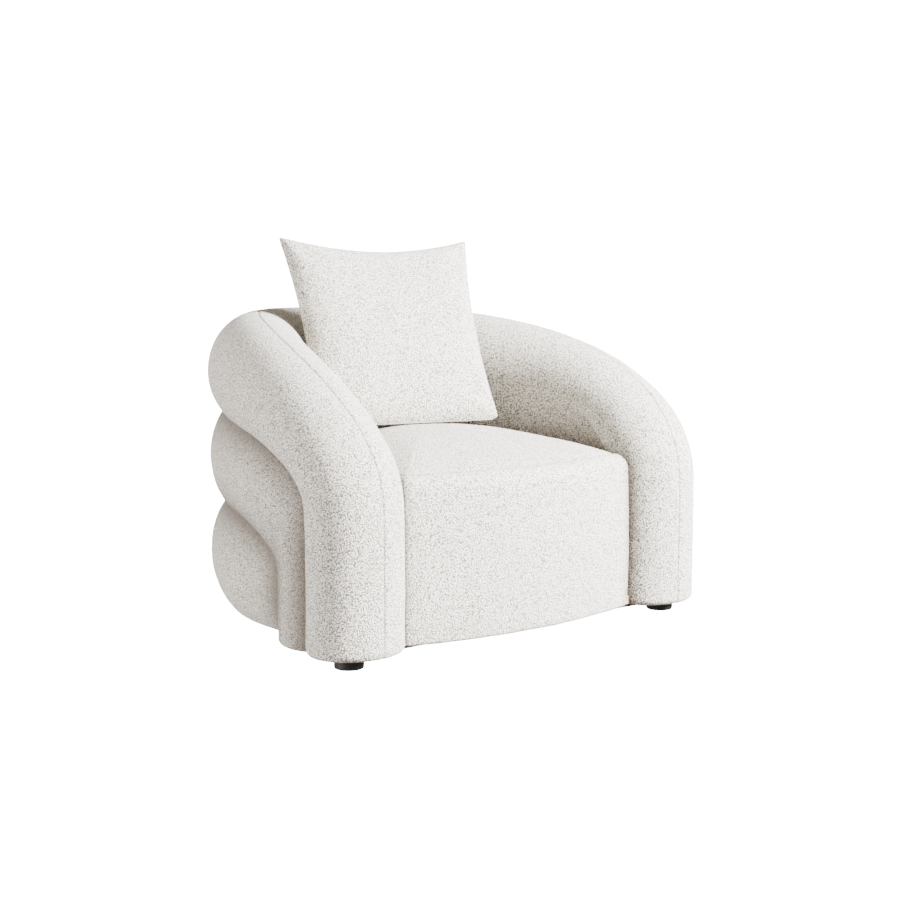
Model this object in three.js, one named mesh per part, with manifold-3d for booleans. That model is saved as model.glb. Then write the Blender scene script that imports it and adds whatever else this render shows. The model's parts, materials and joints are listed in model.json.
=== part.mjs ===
// A lounge armchair: three stacked, padded rolls sweep round the back and down into two front posts,
// a fixed padded seat fills the horseshoe between them, and one loose square cushion leans on the back.
//
// Units are millimetres. +Z is up, the front faces -Y, and the origin is on the floor under the middle.
// Most pieces follow one plan curve, so they are shaped in "roll space" and then laid on it:
//   along  distance along the plan curve, from the left post (0) round the back to the right post
//   out    distance outwards from the curve, away from the sitter
//   up     height above the floor
import * as THREE from "three";
import { mergeVertices } from "three/addons/utils/BufferGeometryUtils.js";
import Module from "manifold-3d";

const wasm = await Module();
wasm.setup();

// ---------------------------------------------------------------- driving dimensions

const DEPTH = 988; // front of the posts to the back of the rolls
const POST_SPACING = 840; // between the middles of the two front posts
const ARM_SPLAY = THREE.MathUtils.degToRad(2); // the arms open a little behind the posts
const CORNER_DEPTH = 383; // how far before the back line the arms start to curve
const BACK_REACH = 141; // how flat the curve is across the back
const UNDERSIDE = 25; // height of the upholstery's lower edge
const CLEARANCE = 0.4; // between pieces that touch
const COVER = 3; // fabric with its wadding

// Each roll lies between an upper and a lower edge curve: a straight post, a bend and a level stretch.
const TOP_ROLL = {
  upper: { start: -87, knee: 294, crest: 674, run: 844, power: 2.21 },
  lower: { start: 87, knee: 290, crest: 416, run: 350, power: 2.2 },
  halfAtPost: 102,
  halfAtBack: 115,
  shiftAtPost: 0,
  shiftAtBack: 0,
  blend: 740,
};
const MIDDLE_ROLL = {
  upper: { start: 6, knee: 202, crest: 494, run: 811, power: 2.12 },
  lower: { start: 205, knee: 165, crest: 222, run: 240, power: 2.2 },
  halfAtPost: 99.5,
  halfAtBack: 98.6,
  shiftAtPost: -8,
  shiftAtBack: 14,
  blend: 740,
};
const BOTTOM_ROLL = {
  start: 150,
  middle: 144,
  halfHeight: 127,
  halfWidth: 82,
  shiftAtStart: -6, // its front end tucks in behind the middle roll's post
  shift: 30,
  blend: 420,
};

const WALL = 12; // plywood wall inside the rolls
const BOW_WIDTH = 80; // bent wooden bow along the middle of the top roll
const BOW_THICKNESS = 18;
const PLATE_INNER = 55; // base plates, from the plan curve inwards and outwards
const PLATE_OUTER = 33;
const PLATE_THICKNESS = 18;
const PLATE_HEIGHT = 30; // underside of the base plates
const PLATE_FRONT = -60; // where the plates start, in front of the post's middle
const TURN_UNDER = 34; // from the plan curve to the inner edge of the bottom cover's turned under edge
const JOIN_STATION = 9; // where the side walls and plates meet the back ones
const PANEL_FACE = -96; // inside lining, measured outwards from the curve
const PANEL_SKIN = 2.4;
const PANEL_STATION = 2; // the lining starts behind the post

const SEAT_SIDE = -101; // the seat's outline, measured outwards from the curve
const SEAT_FRONT_CORNER = 435; // front edge at the corners, measured from the middle of the chair
const SEAT_FRONT_MIDDLE = 484;
const SEAT_EDGE = 366; // height of the seam round the seat
const SEAT_CROWN = 420;
const SEAT_SHOULDER = 34;
const SEAT_CENTRE = -120;
const BORDER_FOAM = 22;
const DECK_HEIGHT = 204; // top of the felt over the springs
const FELT = 6;
const DUST_SHEET = 1.2;
const DUST_EDGE = -22; // measured outwards from the curve
const DUST_SETBACK = 62; // behind the seat's front edge

const RAIL_HEIGHT = 118;
const RAIL_THICKNESS = 25;
const FRONT_RAIL_HALF = 272; // half lengths of the front and back rails
const FRONT_RAIL_AT = -390;
const FRONT_RAIL_BOW = 46;
const BACK_RAIL_AT = 34;
const BACK_RAIL_HALF = 168;
const CROSS_PLATE_DEPTH = 60;
const FRONT_CROSS_AT = -402;
const BLOCK_LEG = 60;
const SPRING_COUNT = 4;
const SPRING_SPACING = 92;
const SPRING_WIRE = 1.9;
const SPRING_WIDTH = 44;
const SPRING_LOOPS = 8; // full zigzags from front to back
const SPRING_CROWN = 16;

const FOOT_RADIUS = 30;
const FOOT_ROUND = 4;
const FRONT_FOOT_OUT = 23;
const FRONT_FOOT_ALONG = -6;
const BACK_FOOT_OUT = 20;
const BACK_FOOT_ALONG = 690;
const SCREW_RADIUS = 3;
const SCREW_HEAD_RADIUS = 7;
const SCREW_HEAD = 4;
const SCREW_RECESS = 4;

const CUSHION_SIDE = 460;
const CUSHION_THICKNESS = 112;
const CUSHION_EDGE = 6; // thickness at the seam
const CUSHION_WAIST = 0.075; // share by which each side draws in between its corners
const CUSHION_COVER = 2.2;
const CUSHION_ASIDE = 6; // middle of its lower edge, to the right of the chair's middle
const CUSHION_FROM_BACK = 443; // from the back's plan line forwards to its lower edge
const CUSHION_LIFT = 10; // its lower edge above the seat's crown, room for the zip's slider
const CUSHION_TURN = THREE.MathUtils.degToRad(-16);
const CUSHION_LEAN = THREE.MathUtils.degToRad(27);
const ZIP_LENGTH = 396;
const ZIP_TAPE = 1.6;
const ZIP_DROP = 4;
const SLIDER_LENGTH = 14;
const SLIDER_WIDTH = 9;
const SLIDER_DEPTH = 6.6;

const ROLL_STATIONS = 15; // along each half of the chair
const LAST_STATION = 2 * ROLL_STATIONS; // at the right post
const ROLL_SIDES = 12; // round each roll
const SEAT_SIDES = 36;
const CUSHION_CELLS = 8;

// ---------------------------------------------------------------- materials

function finish(color, roughness, metalness = 0) {
  return new THREE.MeshStandardMaterial({ color, roughness, metalness });
}

const boucle = () => finish(0xe3e0da, 0.95);
const foam = () => finish(0xefe6b8, 0.9);
const plywood = () => finish(0xc9a877, 0.7);
const timber = () => finish(0xb98f5c, 0.7);
const felt = () => finish(0x8d8b88, 0.95);
const steel = () => finish(0x9a9da1, 0.35, 1);
const darkPlastic = () => finish(0x1b1b1c, 0.5);
const darkCloth = () => finish(0x2a2a2b, 0.9);
const zipPlastic = () => finish(0xd9d5cc, 0.5);

// ---------------------------------------------------------------- plan curve

const backLine = DEPTH / 2 - TOP_ROLL.halfAtBack;
const postLine = -DEPTH / 2 - TOP_ROLL.upper.start;
const armReach = backLine - postLine - CORNER_DEPTH;
const postPoint = new THREE.Vector2(-POST_SPACING / 2, postLine);
const armPull = new THREE.Vector2(-Math.sin(ARM_SPLAY), Math.cos(ARM_SPLAY)).multiplyScalar(armReach);
const halfPlan = new THREE.CubicBezierCurve(
  postPoint,
  postPoint.clone().add(armPull),
  new THREE.Vector2(-BACK_REACH, backLine),
  new THREE.Vector2(0, backLine),
);
const HALF_LENGTH = halfPlan.getLength();

// A point of roll space, laid on the plan curve.
function onPlan(along, out, up) {
  const mirrored = along > HALF_LENGTH;
  const run = mirrored ? 2 * HALF_LENGTH - along : along;
  const share = THREE.MathUtils.clamp(run / HALF_LENGTH, 0, 1);
  const point = halfPlan.getPointAt(share);
  const heading = halfPlan.getTangentAt(share);
  const ahead = Math.min(run, 0);
  const x = point.x + heading.x * ahead - heading.y * out;
  const y = point.y + heading.y * ahead + heading.x * out;
  return new THREE.Vector3(mirrored ? -x : x, y, up);
}

// ---------------------------------------------------------------- solids

// A closed geometry as a manifold solid. Only its positions are kept, and a shape that was drawn the other
// way round has its faces turned to point outwards.
function solid(geometry) {
  const bare = geometry.clone();
  bare.deleteAttribute("normal");
  bare.deleteAttribute("uv");
  const merged = mergeVertices(bare, 1e-3);
  const vertProperties = new Float32Array(merged.attributes.position.array);
  const triVerts = new Uint32Array(merged.index.array);
  const drawn = new wasm.Manifold(new wasm.Mesh({ numProp: 3, vertProperties, triVerts }));
  if (drawn.volume() > 0) return drawn;
  return new wasm.Manifold(new wasm.Mesh({ numProp: 3, vertProperties, triVerts: triVerts.reverse() }));
}

function geometryOf(body) {
  const { vertProperties, triVerts } = body.getMesh();
  const geometry = new THREE.BufferGeometry();
  geometry.setAttribute("position", new THREE.BufferAttribute(new Float32Array(vertProperties), 3));
  geometry.setIndex(new THREE.BufferAttribute(new Uint32Array(triVerts), 1));
  geometry.computeVertexNormals();
  return geometry;
}

function piece(name, body, material) {
  const whole = body.isBufferGeometry ? solid(body) : body;
  const mesh = new THREE.Mesh(geometryOf(whole), material);
  mesh.name = name;
  return mesh;
}

// Moves every vertex of a geometry by a function of its place.
function reshape(geometry, move) {
  const position = geometry.attributes.position;
  const vertex = new THREE.Vector3();
  for (let i = 0; i < position.count; i += 1) {
    vertex.fromBufferAttribute(position, i);
    const moved = move(vertex.clone());
    position.setXYZ(i, moved.x, moved.y, moved.z);
  }
  return geometry;
}

// ---------------------------------------------------------------- rolls

// One edge of a roll seen from the side: up the post, round the bend, then level to the back's middle.
class RollEdge extends THREE.Curve {
  constructor({ start, knee, crest, run, power }) {
    super();
    Object.assign(this, { start, knee, crest, run, power });
    this.arcLengthDivisions = 600;
  }

  getPoint(t, target = new THREE.Vector2()) {
    if (t < 0.2) return target.set(this.start, THREE.MathUtils.lerp(UNDERSIDE, this.knee, t / 0.2));
    if (t > 0.8) {
      const level = THREE.MathUtils.lerp(this.start + this.run, HALF_LENGTH, (t - 0.8) / 0.2);
      return target.set(level, this.crest);
    }
    const angle = ((t - 0.2) / 0.6) * (Math.PI / 2);
    const across = 1 - Math.max(Math.cos(angle), 0) ** (2 / this.power);
    const rise = Math.sin(angle) ** (2 / this.power);
    return target.set(this.start + this.run * across, THREE.MathUtils.lerp(this.knee, this.crest, rise));
  }
}

// The middle, half height and width of a roll at a share (0 to 1) of the way to the back.
function rollStation(roll, share) {
  const upper = roll.upperEdge.getPointAt(share);
  const lower = roll.lowerEdge.getPointAt(share);
  const middle = upper.clone().add(lower).multiplyScalar(0.5);
  const half = upper.clone().sub(lower).multiplyScalar(0.5);
  const back = THREE.MathUtils.smoothstep(middle.x, 0, roll.blend);
  return {
    middle,
    halfHeight: half.length(),
    towardsUpper: half.normalize(),
    halfWidth: THREE.MathUtils.lerp(roll.halfAtPost, roll.halfAtBack, back),
    shift: THREE.MathUtils.lerp(roll.shiftAtPost, roll.shiftAtBack, back),
  };
}

function withEdges(roll) {
  return { ...roll, upperEdge: new RollEdge(roll.upper), lowerEdge: new RollEdge(roll.lower) };
}

const topRoll = withEdges(TOP_ROLL);
const middleRoll = withEdges(MIDDLE_ROLL);

// A roll as one closed solid. grow swells its section, foot is the height of its two ends, and inner cuts
// its section flat at that distance from the plan curve, for a half roll that lies against the wall.
function rollSolid(roll, { grow = 0, foot = UNDERSIDE, inner = -Infinity }) {
  const stations = 2 * ROLL_STATIONS;
  const cylinder = new THREE.CylinderGeometry(1, 1, 1, ROLL_SIDES, stations);
  return solid(
    reshape(cylinder, (vertex) => {
      const step = Math.round((vertex.y + 0.5) * stations);
      const mirrored = step > ROLL_STATIONS;
      const share = (mirrored ? stations - step : step) / ROLL_STATIONS;
      const at = rollStation(roll, share);
      const reach = (at.halfHeight + grow) * vertex.x;
      const along = at.middle.x + at.towardsUpper.x * reach;
      const up = share === 0 ? foot : at.middle.y + at.towardsUpper.y * reach;
      const out = Math.max(at.shift + (at.halfWidth + grow) * vertex.z, inner);
      return onPlan(mirrored ? 2 * HALF_LENGTH - along : along, out, up);
    }),
  );
}

// The bottom roll is level all the way; floor cuts its section flat underneath.
function bottomRollSolid({ grow = 0, floor = UNDERSIDE, inner = 0 }) {
  const stations = 2 * ROLL_STATIONS;
  const length = 2 * (HALF_LENGTH - BOTTOM_ROLL.start);
  const cylinder = new THREE.CylinderGeometry(1, 1, 1, ROLL_SIDES, stations);
  return solid(
    reshape(cylinder, (vertex) => {
      const along = BOTTOM_ROLL.start + (vertex.y + 0.5) * length;
      const up = BOTTOM_ROLL.middle + (BOTTOM_ROLL.halfHeight + grow) * vertex.x;
      const run = Math.min(along, 2 * HALF_LENGTH - along);
      const back = THREE.MathUtils.smoothstep(run, BOTTOM_ROLL.start, BOTTOM_ROLL.blend);
      const shift = THREE.MathUtils.lerp(BOTTOM_ROLL.shiftAtStart, BOTTOM_ROLL.shift, back);
      const out = shift + (BOTTOM_ROLL.halfWidth + grow) * vertex.z;
      return onPlan(along, Math.max(out, inner), Math.max(up, floor));
    }),
  );
}

// Height of the top roll's middle line above a point of the plan curve.
function middleHeight(along) {
  const run = along > HALF_LENGTH ? 2 * HALF_LENGTH - along : along;
  const samples = 400;
  for (let i = 1; i <= samples; i += 1) {
    const next = rollStation(topRoll, i / samples).middle;
    if (next.x >= run && next.x > 0.5) return next.y;
  }
  return rollStation(topRoll, 1).middle.y;
}

// An upright band that follows the plan curve between two of its stations; the gaps shorten its ends.
function bandSolid({ from, to, startGap = 0, endGap = 0, innerOut, outerOut, bottom, top }) {
  const box = new THREE.BoxGeometry(1, 1, 1, to - from, 1, 1);
  return solid(
    reshape(box, (vertex) => {
      const station = THREE.MathUtils.lerp(from, to, vertex.x + 0.5);
      const trim = startGap * (station === from) - endGap * (station === to);
      const along = (station / LAST_STATION) * 2 * HALF_LENGTH + trim;
      const height = typeof top === "function" ? top(along) : top;
      const out = vertex.y > 0 ? outerOut : innerOut;
      return onPlan(along, out, vertex.z > 0 ? height : bottom);
    }),
  );
}

// The bent bow that runs inside the top roll, from plate to plate.
function bowSolid({ grow = 0, foot }) {
  const stations = 2 * ROLL_STATIONS;
  const box = new THREE.BoxGeometry(1, 1, 1, 1, stations, 1);
  return solid(
    reshape(box, (vertex) => {
      const step = Math.round((vertex.y + 0.5) * stations);
      const mirrored = step > ROLL_STATIONS;
      const share = (mirrored ? stations - step : step) / ROLL_STATIONS;
      const at = rollStation(topRoll, share);
      const reach = (BOW_THICKNESS + 2 * grow) * vertex.x;
      const along = at.middle.x + at.towardsUpper.x * reach;
      const up = share === 0 ? foot : at.middle.y + at.towardsUpper.y * reach;
      return onPlan(mirrored ? 2 * HALF_LENGTH - along : along, (BOW_WIDTH + 2 * grow) * vertex.z, up);
    }),
  );
}

// ---------------------------------------------------------------- seat

// The seat's outline in plan, as a closed ring of points: the curve's inner side, then the front edge.
function seatOutline() {
  const points = [];
  const sideSteps = 40;
  const frontSteps = 12;
  const start = -(SEAT_FRONT_CORNER + postLine);
  for (let i = 0; i <= sideSteps; i += 1) {
    const along = THREE.MathUtils.lerp(start, 2 * HALF_LENGTH - start, i / sideSteps);
    points.push(onPlan(along, SEAT_SIDE, 0));
  }
  const corner = points[points.length - 1];
  for (let i = 1; i < frontSteps; i += 1) {
    const x = THREE.MathUtils.lerp(corner.x, -corner.x, i / frontSteps);
    const swell = (SEAT_FRONT_MIDDLE - SEAT_FRONT_CORNER) * (1 - (x / corner.x) ** 2);
    points.push(new THREE.Vector3(x, corner.y - swell, 0));
  }
  return points;
}

const outline = seatOutline();

// Distance from the seat's centre to its outline in one direction.
function outlineRadius(angle) {
  const ray = new THREE.Vector2(Math.cos(angle), Math.sin(angle));
  let nearest = Infinity;
  outline.forEach((a, i) => {
    const b = outline[(i + 1) % outline.length];
    const edge = new THREE.Vector2(b.x - a.x, b.y - a.y);
    const from = new THREE.Vector2(a.x, a.y - SEAT_CENTRE);
    const det = ray.cross(edge);
    if (Math.abs(det) < 1e-9) return;
    const reach = from.cross(edge) / det;
    const share = from.cross(ray) / det;
    if (reach > 0 && share >= -1e-6 && share <= 1 + 1e-6) nearest = Math.min(nearest, reach);
  });
  return nearest;
}

// A solid turned about the seat's centre and stretched to its outline. Each profile point gives the share
// of the way out (0 to 1), how far inside the outline it then lies, and its height.
function seatSolid(profile) {
  const index = profile.map((point, i) => new THREE.Vector2(point.share, i));
  const lathe = new THREE.LatheGeometry(index, SEAT_SIDES);
  return solid(
    reshape(lathe, (vertex) => {
      const point = profile[Math.round(vertex.y)];
      const angle = Math.atan2(vertex.z, vertex.x);
      const reach = point.share < 1e-6 ? 0 : point.share * (outlineRadius(-angle) - point.inset);
      return new THREE.Vector3(reach * Math.cos(-angle), SEAT_CENTRE + reach * Math.sin(-angle), point.up);
    }),
  );
}

// The seat's profile from the middle of its underside to its crown, drawn in by inset.
function seatProfile(inset, bottom) {
  const points = [
    { share: 0, inset, up: bottom },
    { share: 1, inset, up: bottom },
  ];
  const roundSteps = 3;
  for (let i = 0; i <= roundSteps; i += 1) {
    const angle = (i / roundSteps) * (Math.PI / 2);
    const shoulder = SEAT_SHOULDER * (1 - Math.cos(angle));
    const up = SEAT_EDGE - inset - SEAT_SHOULDER * (1 - Math.sin(angle));
    points.push({ share: 1, inset: inset + shoulder, up });
  }
  const rise = SEAT_CROWN - SEAT_EDGE;
  for (const share of [0.72, 0.42, 0]) {
    points.push({ share, inset: inset + SEAT_SHOULDER, up: SEAT_EDGE - inset + rise * (1 - share ** 2.4) });
  }
  return points;
}

function slabProfile(inset, bottom, top) {
  return [
    { share: 0, inset, up: bottom },
    { share: 1, inset, up: bottom },
    { share: 1, inset, up: top },
    { share: 0, inset, up: top },
  ];
}

function box(width, depth, height, x, y, bottom) {
  return new THREE.BoxGeometry(width, depth, height).translate(x, y, bottom + height / 2);
}

// ---------------------------------------------------------------- frame pieces

const plateTop = PLATE_HEIGHT + PLATE_THICKNESS;
const wallFoot = plateTop + CLEARANCE;
const railFoot = plateTop + CLEARANCE;

function wallSolid({ from = 0, to = LAST_STATION, gap = 0, grow = 0, bottom = wallFoot }) {
  return bandSolid({
    from,
    to,
    startGap: gap,
    endGap: gap,
    innerOut: -WALL / 2 - grow,
    outerOut: WALL / 2 + grow,
    bottom,
    top: middleHeight,
  });
}

// The plates reach a little past the post's middle, so that the front feet screw into them.
function plateSolid({ from = 0, to = LAST_STATION, gap = 0, grow = 0 }) {
  return bandSolid({
    from,
    to,
    startGap: from === 0 ? PLATE_FRONT - grow : gap,
    endGap: to === LAST_STATION ? PLATE_FRONT - grow : gap,
    innerOut: -PLATE_INNER - grow,
    outerOut: PLATE_OUTER + grow,
    bottom: PLATE_HEIGHT - grow,
    top: plateTop + grow,
  });
}

function crossPlate(at, half, grow = 0) {
  const depth = CROSS_PLATE_DEPTH + 2 * grow;
  return solid(box(2 * (half + grow), depth, PLATE_THICKNESS + 2 * grow, 0, at, PLATE_HEIGHT - grow));
}

// Half the free width between the side plates at a distance behind the middle.
function widthBetweenPlates(y) {
  let narrowest = Infinity;
  for (let i = 0; i <= 200; i += 1) {
    const along = THREE.MathUtils.lerp(PLATE_FRONT, HALF_LENGTH, i / 200);
    const inner = onPlan(along, -PLATE_INNER, 0);
    if (Math.abs(inner.y - y) < CROSS_PLATE_DEPTH / 2 + 6) narrowest = Math.min(narrowest, Math.abs(inner.x));
  }
  return narrowest;
}

const footPlaces = [
  { side: "left", end: "front", along: FRONT_FOOT_ALONG, out: FRONT_FOOT_OUT },
  { side: "right", end: "front", along: 2 * HALF_LENGTH - FRONT_FOOT_ALONG, out: FRONT_FOOT_OUT },
  { side: "left", end: "back", along: BACK_FOOT_ALONG, out: BACK_FOOT_OUT },
  { side: "right", end: "back", along: 2 * HALF_LENGTH - BACK_FOOT_ALONG, out: BACK_FOOT_OUT },
];

function cylinder(radius, bottom, top, sides = 24) {
  return new THREE.CylinderGeometry(radius, radius, top - bottom, sides)
    .rotateX(Math.PI / 2)
    .translate(0, 0, (top + bottom) / 2);
}

function screwHoles(grow) {
  return footPlaces.map((foot) => {
    const at = onPlan(foot.along, foot.out, 0);
    return solid(cylinder(SCREW_RADIUS + grow, -1, plateTop + 1, 8).translate(at.x, at.y, 0));
  });
}

function cut(body, tools) {
  return tools.reduce((left, tool) => left.subtract(tool), body);
}

function buildRolls(group) {
  const slot = wallSolid({ grow: CLEARANCE, bottom: -20 });
  // Everything from the wall's outer face inwards, where the half rolls may not reach.
  const wholeLength = { from: 0, to: LAST_STATION, startGap: -30, endGap: -30, innerOut: -80, bottom: -30 };
  const wallSide = bandSolid({ ...wholeLength, outerOut: WALL / 2 + CLEARANCE, top: 720 });
  // The bottom cover's turned under edge stops a little outside the wall.
  const turnedUnder = bandSolid({ ...wholeLength, outerOut: TURN_UNDER, top: plateTop });
  const topFoot = wallFoot + CLEARANCE;
  const topGrown = (grow) => rollSolid(topRoll, { grow, foot: -20 });
  const middleGrown = (grow) => rollSolid(middleRoll, { grow, foot: -20, inner: -20 });
  const plates = plateSolid({ grow: CLEARANCE });
  const crossRoom = crossPlate(FRONT_CROSS_AT, widthBetweenPlates(FRONT_CROSS_AT), CLEARANCE);

  const topHollow = rollSolid(topRoll, { grow: -COVER, foot: -20 });
  const topCover = cut(rollSolid(topRoll, {}), [topHollow, slot, plates, crossRoom]);
  const bowRoom = bowSolid({ grow: CLEARANCE, foot: -20 });
  const topPad = rollSolid(topRoll, { grow: -COVER - CLEARANCE, foot: topFoot });
  const topFoam = cut(topPad, [bowRoom, slot]);

  const middleHollow = rollSolid(middleRoll, { grow: -COVER, foot: -20, inner: -20 }).subtract(
    topGrown(CLEARANCE + COVER),
  );
  const middleSkin = rollSolid(middleRoll, { inner: -20 });
  const middleCover = cut(middleSkin, [topGrown(CLEARANCE), middleHollow, wallSide, plates]);
  const middlePad = rollSolid(middleRoll, { grow: -COVER - CLEARANCE, foot: topFoot, inner: -20 });
  const middleFoam = cut(middlePad, [topGrown(2 * CLEARANCE + COVER), wallSide]);

  const bottomHollow = bottomRollSolid({ grow: -COVER, floor: -10, inner: -20 }).subtract(
    middleGrown(CLEARANCE + COVER),
  );
  const bottomSkin = bottomRollSolid({ inner: -20 });
  const bottomCover = cut(bottomSkin, [middleGrown(CLEARANCE), bottomHollow, wallSide, turnedUnder, plates]);
  const bottomPad = bottomRollSolid({ grow: -COVER - CLEARANCE, floor: topFoot, inner: -20 });
  const bottomFoam = cut(bottomPad, [middleGrown(2 * CLEARANCE + COVER), wallSide]);

  group.add(piece("top_roll_cover", topCover, boucle()));
  group.add(piece("top_roll_foam", topFoam, foam()));
  group.add(piece("middle_roll_cover", middleCover, boucle()));
  group.add(piece("middle_roll_foam", middleFoam, foam()));
  group.add(piece("bottom_roll_cover", bottomCover, boucle()));
  group.add(piece("bottom_roll_foam", bottomFoam, foam()));
}

function buildInsideLining(group) {
  const overhead = rollSolid(topRoll, { grow: CLEARANCE, foot: -20 });
  const common = { from: PANEL_STATION, to: LAST_STATION - PANEL_STATION, top: middleHeight };
  const skin = bandSolid({
    ...common,
    innerOut: PANEL_FACE - PANEL_SKIN,
    outerOut: PANEL_FACE,
    bottom: wallFoot + CLEARANCE,
  });
  const pad = bandSolid({
    ...common,
    innerOut: PANEL_FACE + CLEARANCE,
    outerOut: -WALL / 2 - CLEARANCE,
    bottom: wallFoot + CLEARANCE,
  });
  group.add(piece("inside_lining_cover", skin.subtract(overhead), boucle()));
  group.add(piece("inside_lining_foam", pad.subtract(overhead), foam()));
}

function buildCarcass(group) {
  const bowRoom = bowSolid({ grow: CLEARANCE, foot: 0 });
  const gap = CLEARANCE / 2;
  const holes = screwHoles(CLEARANCE);
  const spans = {
    left: [0, JOIN_STATION],
    back: [JOIN_STATION, LAST_STATION - JOIN_STATION],
    right: [LAST_STATION - JOIN_STATION, LAST_STATION],
  };
  for (const [side, [from, to]] of Object.entries(spans)) {
    group.add(piece(`${side}_wall`, wallSolid({ from, to, gap }).subtract(bowRoom), plywood()));
    group.add(piece(`${side}_base_plate`, cut(plateSolid({ from, to, gap }), holes), plywood()));
  }
  group.add(piece("top_bow", bowSolid({ foot: wallFoot }), plywood()));
  for (const [end, at] of [["front", FRONT_CROSS_AT], ["back", BACK_RAIL_AT]]) {
    const plate = crossPlate(at, widthBetweenPlates(at)).subtract(plateSolid({ grow: CLEARANCE }));
    group.add(piece(`${end}_cross_plate`, plate, plywood()));
  }
}

// ---------------------------------------------------------------- seat box

// A rail between two points, its ends cut square across X.
function slantedRail(from, to, thickness, height, bottom) {
  const rail = box(1, 1, height, 0, 0, bottom);
  return reshape(rail, (vertex) => {
    const share = vertex.y + 0.5;
    const x = THREE.MathUtils.lerp(from.x, to.x, share) + vertex.x * thickness;
    return new THREE.Vector3(x, THREE.MathUtils.lerp(from.y, to.y, share), vertex.z);
  });
}

function frontRail() {
  const rail = new THREE.BoxGeometry(2 * FRONT_RAIL_HALF, RAIL_THICKNESS, RAIL_HEIGHT, 10, 1, 1);
  rail.translate(0, 0, railFoot + RAIL_HEIGHT / 2);
  return reshape(rail, (vertex) => {
    const bow = FRONT_RAIL_BOW * (1 - (vertex.x / FRONT_RAIL_HALF) ** 2);
    const y = vertex.y > 0 ? vertex.y : vertex.y - bow;
    return new THREE.Vector3(vertex.x, FRONT_RAIL_AT + y, vertex.z);
  });
}

// A glued corner block: a right triangle seen from above.
function cornerBlock(x, y, towardsX, towardsY) {
  const shape = new THREE.Shape();
  shape.moveTo(x, y);
  shape.lineTo(x + towardsX * BLOCK_LEG, y);
  shape.lineTo(x, y + towardsY * BLOCK_LEG);
  shape.closePath();
  const height = RAIL_HEIGHT * 0.6;
  return new THREE.ExtrudeGeometry(shape, { depth: height, bevelEnabled: false }).translate(0, 0, railFoot);
}

// A zigzag spring wire that arches from the front rail to the back rail.
function zigzagSpring(x, from, to, height) {
  const points = [];
  const steps = SPRING_LOOPS * 2;
  for (let i = 0; i <= steps; i += 1) {
    const share = i / steps;
    const side = i === 0 || i === steps ? 0 : (i % 2) - 0.5;
    const lift = SPRING_CROWN * Math.sin(Math.PI * share);
    const y = THREE.MathUtils.lerp(from, to, share);
    points.push(new THREE.Vector3(x + side * SPRING_WIDTH, y, height + lift));
  }
  const section = new THREE.Shape();
  const sides = 5;
  for (let i = 0; i < sides; i += 1) {
    const angle = (i / sides) * 2 * Math.PI;
    const at = [SPRING_WIRE * Math.cos(angle), SPRING_WIRE * Math.sin(angle)];
    if (i === 0) section.moveTo(...at);
    else section.lineTo(...at);
  }
  section.closePath();
  const path = new THREE.CatmullRomCurve3(points, false, "catmullrom", 0.6);
  return new THREE.ExtrudeGeometry(section, { steps: steps * 2, extrudePath: path, bevelEnabled: false });
}

// A bent clip on a rail's top edge that holds a spring's end. Its mouth faces the spring (1 is backwards).
function springClip(x, y, bottom, facing) {
  const shape = new THREE.Shape();
  const wide = 7;
  const tall = 9.4;
  const sheet = 1.5;
  shape.moveTo(-wide, 0);
  shape.lineTo(wide, 0);
  shape.lineTo(wide, tall);
  shape.lineTo(-wide + 3, tall);
  shape.lineTo(-wide + 3, tall - sheet);
  shape.lineTo(wide - sheet, tall - sheet);
  shape.lineTo(wide - sheet, sheet);
  shape.lineTo(-wide, sheet);
  shape.closePath();
  const clip = new THREE.ExtrudeGeometry(shape, { depth: 16, bevelEnabled: false });
  clip.translate(0, 0, -8).rotateX(Math.PI / 2).rotateZ(Math.PI / 2);
  return clip.scale(1, -facing, 1).translate(x, y, bottom);
}

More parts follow.
